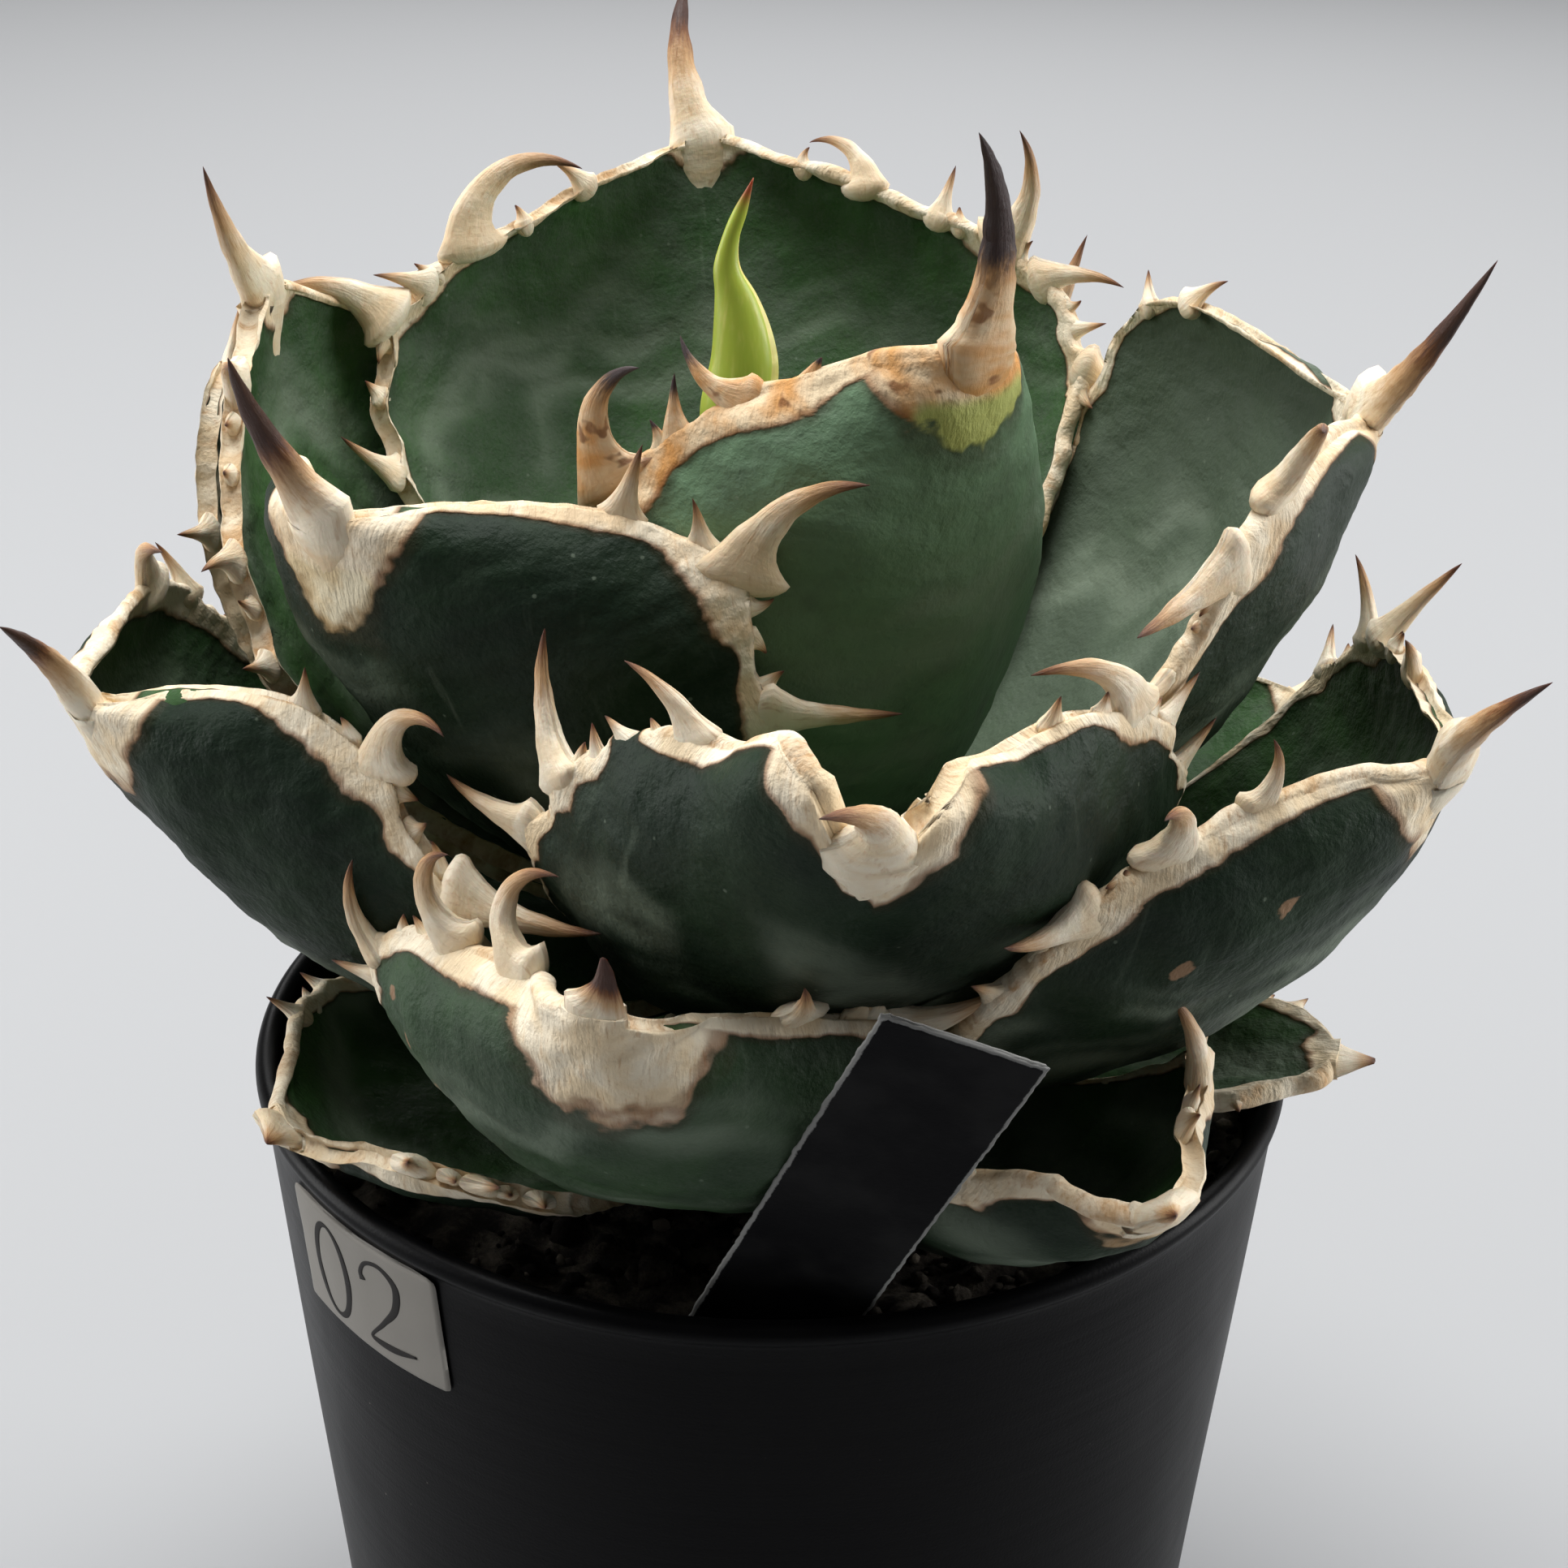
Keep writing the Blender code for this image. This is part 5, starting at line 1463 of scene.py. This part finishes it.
@dataclass(frozen=True)
class Pot:
    """The nursery pot: foot ring, raised floor with drain holes, tapered wall and rolled rim."""
    segments: int = 224
    drains: int = 8
    drain_radius: float = 4.0
    drain_circle: float = 34.0
    centre_radius: float = 6.0

    def profile(self) -> np.ndarray:
        """The pot's section, from the middle of the underside round to the floor's middle.

        Returns:
            Rows of radius and height.
        """
        low, high = FOOT_HEIGHT, FOOT_HEIGHT + FLOOR_THICKNESS
        ring = outer_radius(0) - FOOT_WIDTH
        bead_height, bead_radius = POT_HEIGHT - RIM_BEAD, RIM_DIAMETER / 2 - RIM_BEAD
        foot = ((0.5, low, 0), (ring, low, 0.8), (ring, 0, 0.6), (outer_radius(0), 0, 0.9),
                (outer_radius(40), 40, 0), (outer_radius(bead_height - 2.2), bead_height - 2.2, 0))
        turn = np.radians(np.linspace(-52, 215, 30))
        bead = np.stack([bead_radius + RIM_BEAD * np.cos(turn), bead_height + RIM_BEAD * np.sin(turn)], -1)
        inner = ((outer_radius(bead_height - 3) - WALL_THICKNESS, bead_height - 3, 0),
                 (outer_radius(high) - WALL_THICKNESS, high, 2.0), (0.5, high, 0))
        start = (tuple(bead[-1]) + (0,),)
        return divided(np.concatenate([filleted(foot), bead, filleted(start + inner)[1:]]), 4.0)

    def build(self, plastic: bpy.types.Material) -> None:
        """Make the pot: the profile turned about Z, very slightly uneven, with its holes cut.

        Args:
            plastic: its finish.
        """
        radius, height = self.profile().T
        theta = np.linspace(0, 2 * math.pi, self.segments, endpoint=False)
        around = RIM_DIAMETER / 2 * np.cos(theta)[None], RIM_DIAMETER / 2 * np.sin(theta)[None]
        uneven = 0.10 * waves(31, 8, 70.0, *around, height[:, None])
        size = radius[:, None] + uneven * smooth_step(radius, 30, 60)[:, None]
        shell = Shell()
        shell.tube(turned(size, height, theta))
        pot = shell.piece("pot_body", plastic, "pot_plastic", "pot")
        turn = np.radians(360 / self.drains * (np.arange(self.drains) + 0.5))
        places = [(0.0, 0.0, self.centre_radius)]
        for x, y in self.drain_circle * np.stack([np.cos(turn), np.sin(turn)], -1):
            places.append((x, y, self.drain_radius))
        self.drill(pot, places)

    def drill(self, pot: bpy.types.Object, places: list) -> None:
        """Cut upright round holes through the pot's floor.

        Args:
            pot: the object to cut.
            places: x, y and radius of each hole in millimetres.
        """
        cutter = Shell()
        theta = np.linspace(0, 2 * math.pi, 40, endpoint=False)
        height = np.array([FOOT_HEIGHT - 3, FOOT_HEIGHT + FLOOR_THICKNESS + 3])
        for x, y, radius in places:
            cutter.tube(turned(np.full((2, len(theta)), radius), height, theta) + [x, y, 0])
        mesh = bpy.data.meshes.new("drill")
        rows = [row for block in cutter.faces for row in block.tolist()]
        mesh.from_pydata((np.concatenate(cutter.points) * MM).tolist(), [], rows)
        tool = bpy.data.objects.new("drill", mesh)
        bpy.context.scene.collection.objects.link(tool)
        step = pot.modifiers.new("drains", "BOOLEAN")
        step.operation, step.object, step.solver = "DIFFERENCE", tool, "EXACT"
        cut = bpy.data.meshes.new_from_object(pot.evaluated_get(bpy.context.evaluated_depsgraph_get()))
        pot.modifiers.clear()
        pot.data = cut
        bpy.data.objects.remove(tool)
        LOG.info("pot_body: %d holes drilled", len(places))


@dataclass(frozen=True)
class PottingMix:
    """The potting mix: a clumpy dark surface with loose grains of bark, pumice and grit on it."""
    grains: int = 1500
    bottom: float = 28.3

    def height(self, x: np.ndarray, y: np.ndarray) -> np.ndarray:
        """Height of the surface over MIX_TOP: two sums of waves."""
        return 0.8 * waves(41, 10, 17.0, x, y) + 0.35 * waves(42, 12, 5.0, x, y) - 0.6

    def build(self, ground: bpy.types.Material) -> None:
        """Make the body of the mix and, as a second piece, the grains.

        Args:
            ground: the finish of both.
        """
        wall = outer_radius(MIX_TOP) - WALL_THICKNESS - 0.35
        low = outer_radius(self.bottom) - WALL_THICKNESS - 0.35
        theta = np.linspace(0, 2 * math.pi, 240, endpoint=False)
        rising = np.stack([np.linspace(low, wall, 12), np.linspace(self.bottom, MIX_TOP, 12)], -1)
        inward = np.stack([np.linspace(wall, 1.0, 70), np.full(70, MIX_TOP)], -1)
        rows = np.concatenate([[[1.0, self.bottom], [low, self.bottom]], rising[1:], inward[1:]])
        radius, height = rows.T
        x, y = radius[:, None] * np.cos(theta), radius[:, None] * np.sin(theta)
        z = height[:, None] + self.height(x, y) * (height[:, None] >= MIX_TOP)
        shell = Shell()
        tone = 0.2 + 0.15 * waves(43, 10, 9.0, x, y)
        shell.tube(np.stack([x, y, z], -1), tone=tone)
        shell.piece("mix_body", ground, "potting_mix", "potting_mix")
        self.scatter(wall).piece("mix_grains", ground, "potting_mix")

    def scatter(self, wall: float) -> Shell:
        """Loose grains: uneven icosahedra of many sizes, half sunk in the surface.

        Args:
            wall: radius of the surface.

        Returns:
            The grains.
        """
        rng = np.random.default_rng(44)
        golden = (1 + math.sqrt(5)) / 2
        corners = np.array([[-1, golden, 0], [1, golden, 0], [-1, -golden, 0], [1, -golden, 0],
                            [0, -1, golden], [0, 1, golden], [0, -1, -golden], [0, 1, -golden],
                            [golden, 0, -1], [golden, 0, 1], [-golden, 0, -1], [-golden, 0, 1]]) / 1.9
        faces = np.array([[0, 11, 5], [0, 5, 1], [0, 1, 7], [0, 7, 10], [0, 10, 11], [1, 5, 9], [5, 11, 4],
                          [11, 10, 2], [10, 7, 6], [7, 1, 8], [3, 9, 4], [3, 4, 2], [3, 2, 6], [3, 6, 8],
                          [3, 8, 9], [4, 9, 5], [2, 4, 11], [6, 2, 10], [8, 6, 7], [9, 8, 1]])
        count = self.grains
        radius = np.sqrt(rng.uniform(19.0 ** 2, (wall - 1.5) ** 2, count))
        angle = rng.uniform(0, 2 * math.pi, count)
        size = rng.uniform(0.45, 1.1, count) * rng.choice((1.0, 1.6, 2.4), count, p=(0.6, 0.3, 0.1))
        stretch = rng.uniform(0.55, 1.35, (count, 1, 3))
        bumps = rng.uniform(0.8, 1.2, (count, 12, 1))
        local = corners[None] * stretch * bumps * size[:, None, None]
        turn = rng.uniform(0, 2 * math.pi, count)
        cos, sin = np.cos(turn)[:, None], np.sin(turn)[:, None]
        across, aside, up = np.moveaxis(local, -1, 0)
        local = np.stack([across * cos - aside * sin, across * sin + aside * cos, up * 0.8], -1)
        x, y = radius * np.cos(angle), radius * np.sin(angle)
        z = MIX_TOP + self.height(x, y) + size * 0.35
        points = (local + np.stack([x, y, z], -1)[:, None]).reshape(-1, 3)
        rows = (faces[None] + 12 * np.arange(count)[:, None, None]).reshape(-1, 3)
        tone = np.repeat(rng.choice((0.0, 0.25, 1.1), count, p=(0.55, 0.33, 0.12)), 12)
        shell = Shell()
        shell.add(points, [rows], tone=tone)
        return shell


# ------------------------------------------------------------ label and tag
@dataclass(frozen=True)
class NumberLabel:
    """The tape label on the wall, with two digits drawn as brush strokes."""
    width: float = 33.0
    height: float = 18.9
    gap: float = 0.3             # from the wall to the film's back
    corner: float = 1.2
    top: float = POT_HEIGHT - 4.8
    start: float = 209.4         # azimuth of the left edge, degrees
    twist: float = 1.9           # degrees that it was stuck on askew
    # the nought: its middle, its half width and half height; a stroke is thin at top and bottom
    nought: tuple = (9.6, 9.6, 4.0, 7.3)
    # the two: share of the way, place across, place down, half width of the brush
    two: tuple = ((0.0, 18.0, 6.6, 0.75), (0.07, 17.7, 5.5, 0.45), (0.17, 19.2, 3.3, 0.32),
                  (0.28, 22.4, 2.5, 0.42), (0.40, 25.2, 4.6, 0.72), (0.50, 24.6, 8.2, 0.66),
                  (0.64, 21.3, 12.4, 0.40), (0.76, 18.0, 16.0, 0.30), (0.80, 18.4, 16.2, 0.42),
                  (0.90, 22.5, 16.1, 0.62), (1.0, 27.4, 15.2, 0.20))

    def place(self, across: np.ndarray, down: np.ndarray, lift: np.ndarray) -> np.ndarray:
        """Points on the pot's wall: a flat place on the label wrapped round the cone.

        Args:
            across: millimetres from the left edge.
            down: millimetres from the top edge.
            lift: millimetres off the wall.

        Returns:
            Points, the arguments' shape by 3.
        """
        turn = math.radians(self.twist)
        along = across * math.cos(turn) + down * math.sin(turn)
        drop = down * math.cos(turn) - across * math.sin(turn)
        height = self.top - drop * math.cos(math.radians(WALL_TAPER))
        radius = outer_radius(height) + lift
        angle = math.radians(self.start) + along / outer_radius(self.top)
        return np.stack([radius * np.cos(angle), radius * np.sin(angle), height], -1)

    def build(self, film: bpy.types.Material, print_ink: bpy.types.Material) -> None:
        """Make the film, a round-cornered sheet with rounded edges, and the two digits on it.

        Args:
            film: the sheet's finish.
            print_ink: the digits' finish.
        """
        down = self.height * np.linspace(0, 1, 44)
        near = np.minimum(down, self.height - down)
        arc = np.sqrt(np.maximum(self.corner ** 2 - (self.corner - near) ** 2, 0))
        inset = np.where(near < self.corner, self.corner - arc, 0)
        across = inset[:, None] + (self.width - 2 * inset[:, None]) * np.linspace(0, 1, 72)
        deep = down[:, None] + 0 * across
        far = np.minimum(np.minimum(across - inset[:, None], self.width - inset[:, None] - across),
                         np.minimum(deep, self.height - deep))
        lift = 0.32 + 0.28 * np.sqrt(np.clip(far / 0.25, 0, 1)) + 0.03 * waves(51, 8, 11.0, across, deep)
        front = self.place(across, deep, lift)
        back = self.place(across, deep, np.full_like(across, self.gap))
        ring = np.concatenate([front, back[:, ::-1]], axis=1)
        cut = np.concatenate([1 - np.clip(far / 0.3, 0, 1), np.ones_like(far)], axis=1)
        shell = Shell()
        shell.tube(ring, True, cut=cut * 0.5)
        shell.piece("label_sheet", film, "label_film", "number_label")
        digits = Shell()
        theta = np.linspace(0, 2 * math.pi, 97)
        x, y, wide, tall = self.nought
        brush = 0.32 + 0.42 * np.abs(np.cos(theta))
        self.stroke(digits, np.stack([x + wide * np.cos(theta), y - tall * np.sin(theta), brush], -1))
        self.stroke(digits, smooth_line(self.two, np.linspace(0, 1, 90)))
        digits.piece("label_digits", print_ink, "label_print")

    def stroke(self, shell: Shell, path: np.ndarray) -> None:
        """Add a brush stroke: a thin flattened tube along a line on the label.

        Args:
            shell: what it is added to.
            path: rows of across, down and half width.
        """
        place, half = path[:, :2], path[:, 2]
        heading = unit(np.gradient(place, axis=0))
        aside = np.stack([-heading[:, 1], heading[:, 0]], -1)
        theta = np.linspace(0, 2 * math.pi, 10, endpoint=False)
        offset = np.cos(theta)[None] * half[:, None]
        across = place[:, :1] + aside[:, :1] * offset
        down = place[:, 1:] + aside[:, 1:] * offset
        lift = np.broadcast_to(0.63 + 0.05 * np.sin(theta)[None], across.shape)
        shell.tube(self.place(across, down, lift), True)


@dataclass(frozen=True)
class PlantTag:
    """The blank plant tag: a thin plate pushed into the mix, with roughly cut edges."""
    width: float = 19.3
    thickness: float = 0.8
    showing: float = 80.0
    buried: float = 24.0
    corner: tuple = (12.5, -93.5, POT_HEIGHT + 56.7)     # its upper left corner
    axis: tuple = (0.296, -0.419, 0.858)                 # direction from foot to top
    across: tuple = (0.944, -0.011, -0.330)              # direction from its left edge to its right
    FACE_COLUMNS = 26
    EDGE_COLUMNS = 5

    def build(self, plastic: bpy.types.Material) -> None:
        """Make the plate: rings round its flat section from foot to top, edges rounded and ragged.

        Args:
            plastic: its finish.
        """
        axis = unit(np.array(self.axis))
        across = unit(np.array(self.across) - axis * np.dot(self.across, axis))
        face = np.cross(axis, across)
        length = self.showing + self.buried
        drop = np.concatenate([length * np.linspace(1, 0, 150), [-0.12, -0.16]])
        u = 0.5 - 0.5 * np.cos(np.linspace(0, math.pi, self.FACE_COLUMNS))
        face_ones, edge_ones = np.ones(self.FACE_COLUMNS), np.ones(self.EDGE_COLUMNS)
        flank = np.radians(np.linspace(90, -90, self.EDGE_COLUMNS + 2)[1:-1])
        ring_u = np.concatenate([u, edge_ones, u[::-1], 0 * edge_ones])
        ring_z = np.concatenate([face_ones, np.sin(flank), -face_ones, -np.sin(flank)])
        bulge = np.concatenate([0 * face_ones, np.cos(flank), 0 * face_ones, -np.cos(flank)])
        ragged = 0.10 * waves(61, 14, 3.0, drop[:, None] + 0 * ring_u, 40 * ring_u[None] + 0 * drop[:, None])
        side = self.width * ring_u[None] + bulge[None] * 0.3 + ragged * (np.abs(ring_u[None] - 0.5) > 0.49)
        thin = np.where(drop < 0, 0.55, 1.0) * np.where(drop < -0.14, 0.4, 1.0)
        from_edge = np.minimum(ring_u, 1 - ring_u)
        worn = 1 - 0.35 * hill(from_edge / 0.012)
        lift = self.thickness / 2 * ring_z[None] * thin[:, None] * worn[None]
        lift = lift + 0.25 * np.sin(math.pi * drop / length)[:, None]
        uneven = 0.12 * waves(62, 10, 3.0, 40 * ring_u[None] + 0 * drop[:, None])
        top = uneven * (drop[:, None] < 1) - drop[:, None]
        grid = np.array(self.corner) + axis * top[..., None]
        grid = grid + across * side[..., None] + face * lift[..., None]
        edge = np.minimum(from_edge[None] * self.width, np.maximum(drop, 0)[:, None])
        shell = Shell()
        shell.tube(grid, True, cut=1 - np.clip(edge / 0.7, 0, 1))
        shell.piece("tag_plate", plastic, "tag_plastic", "plant_tag")


# ------------------------------------------------------------ stage
@dataclass(frozen=True)
class Studio:
    """Pale floor, soft lights and the camera."""
    floor_colour: tuple = (0.35, 0.354, 0.362)
    floor_reach: float = 15.0    # metres
    sky: tuple = (0.97, 0.98, 1.0, 1.0)
    sky_strength: float = 0.14
    distance: float = 418.4      # from the aim to the camera, mm
    pitch: float = 26.29         # degrees that the camera looks down
    roll: float = 0.83
    aim: tuple = (1.3, 34.4)     # shift of the view to the right and up, mm
    lens: float = 65.2

    def build(self) -> None:
        """Make the floor, the lights, the world and the camera."""
        scene = bpy.context.scene
        scene.view_settings.view_transform = "Standard"
        graph = Graph("floor")
        floor = bpy.data.meshes.new("floor")
        far = self.floor_reach
        ends = [(-far, -far, 0), (far, -far, 0), (far, far, 0), (-far, far, 0)]
        floor.from_pydata(ends, [], [(0, 1, 2, 3)])
        floor.materials.append(graph.finish(self.floor_colour, 0.85, Specular_IOR_Level=0.2))
        ground = bpy.data.objects.new("floor", floor)
        scene.collection.objects.link(ground)
        ground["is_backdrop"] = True
        self.light("key_top", (-0.15, 0.22, 1.5), (0, 0.05, 0.15), (1.1, 1.0), 28.0)
        self.light("back", (0.1, 1.5, 0.9), (0, 0, 0.12), (1.8, 0.8), 16.0)
        self.light("left", (-1.2, 0.22, 0.45), (0, 0, 0.12), (0.6, 0.9), 11.0)
        self.light("right", (1.2, 0.22, 0.45), (0, 0, 0.12), (0.6, 0.9), 13.0)
        world = bpy.data.worlds.new("studio")
        world.use_nodes = True
        background = world.node_tree.nodes["Background"]
        background.inputs["Color"].default_value = self.sky
        background.inputs["Strength"].default_value = self.sky_strength
        scene.world = world
        self.camera()

    def light(self, name: str, place: tuple, target: tuple, size: tuple, power: float) -> None:
        """Add a rectangular soft light.

        Args:
            name: the light's name.
            place: where it stands, metres.
            target: what it points at.
            size: its width and height in metres.
            power: watts.
        """
        lamp = bpy.data.lights.new(name, "AREA")
        lamp.shape, lamp.size, lamp.size_y, lamp.energy = "RECTANGLE", *size, power
        obj = bpy.data.objects.new(name, lamp)
        toward = unit(np.array(target) - np.array(place))
        side = unit(np.cross(toward, [0.0, 0.0, 1.0]))
        up = np.cross(side, toward)
        obj.matrix_world = Matrix([[*row, where] for row, where in
                                   zip(np.stack([side, up, -toward], -1).tolist(), place)] + [[0, 0, 0, 1]])
        bpy.context.scene.collection.objects.link(obj)

    def camera(self) -> None:
        """Add the camera: it looks down by the pitch from straight in front, turned by the roll."""
        pitch, roll = math.radians(self.pitch), math.radians(self.roll)
        forward = np.array([0, math.cos(pitch), -math.sin(pitch)])
        right = np.array([1.0, 0, 0])
        up = np.cross(right, forward)
        x_axis = right * math.cos(roll) + up * math.sin(roll)
        y_axis = up * math.cos(roll) - right * math.sin(roll)
        place = -forward * self.distance + right * self.aim[0] + up * self.aim[1] + [0, 0, POT_HEIGHT]
        data = bpy.data.cameras.new("camera")
        data.lens, data.sensor_width, data.clip_start = self.lens, 36.0, 0.01
        obj = bpy.data.objects.new("camera", data)
        rows = np.stack([x_axis, y_axis, -forward], -1).tolist()
        obj.matrix_world = Matrix([[*row, where * MM] for row, where in zip(rows, place)] + [[0, 0, 0, 1]])
        bpy.context.scene.collection.objects.link(obj)
        bpy.context.scene.camera = obj


# ------------------------------------------------------------ the whole object
class PottedAgave:
    """The plant in its pot: makes the finishes once and builds every part in order."""

    def __init__(self, frame: dict) -> None:
        """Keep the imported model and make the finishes.
        """
        self.frame = frame
        self.horn = HornFinish().build()
        self.skin = LeafFinish().build()

    def build(self) -> None:
        """Build pot, filling, plant, label and tag."""
        Pot().build(PotFinish().build())
        mix = GroundFinish("potting_mix", dark=(0.010, 0.007, 0.005), pale=(0.20, 0.17, 0.13))
        PottingMix().build(mix.build())
        pumice = GroundFinish("pumice", dark=(0.20, 0.18, 0.15), pale=(0.50, 0.47, 0.42))
        layer = self.frame["nodes"]["pumice_layer"]
        layer.data.materials.clear()
        layer.data.materials.append(pumice.build())
        bark = GroundFinish("stem_skin", dark=(0.10, 0.085, 0.045), pale=(0.30, 0.27, 0.17))
        Stem().build(bark.build())
        Bud().build(BudFinish().build())
        for rank, leaf in enumerate(LEAVES):
            AgaveLeaf(leaf, rank).build(self.skin, self.horn)
        film = FilmFinish("label_film", face=(0.27, 0.255, 0.23), edge=(0.42, 0.41, 0.38), roughness=0.34)
        ink = FilmFinish("label_print", face=(0.035, 0.033, 0.032), edge=(0.05, 0.05, 0.05), roughness=0.5)
        NumberLabel().build(film.build(), ink.build())
        tag = FilmFinish("tag_plastic", face=(0.0030, 0.0030, 0.0038), edge=(0.26, 0.26, 0.25),
                         roughness=0.42)
        PlantTag().build(tag.build())


def corners() -> list:
    """Lowest and highest corner of what is shown, as plain numbers."""
    return [list(map(float, corner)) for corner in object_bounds()]


def main() -> None:
    """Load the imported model, build the finished object on it and set the stage."""
    logging.basicConfig(level=logging.INFO, format="%(message)s")
    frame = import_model()
    PottedAgave(frame).build()
    Studio().build()
    bpy.context.view_layer.update()


if __name__ == "__main__":
    main()
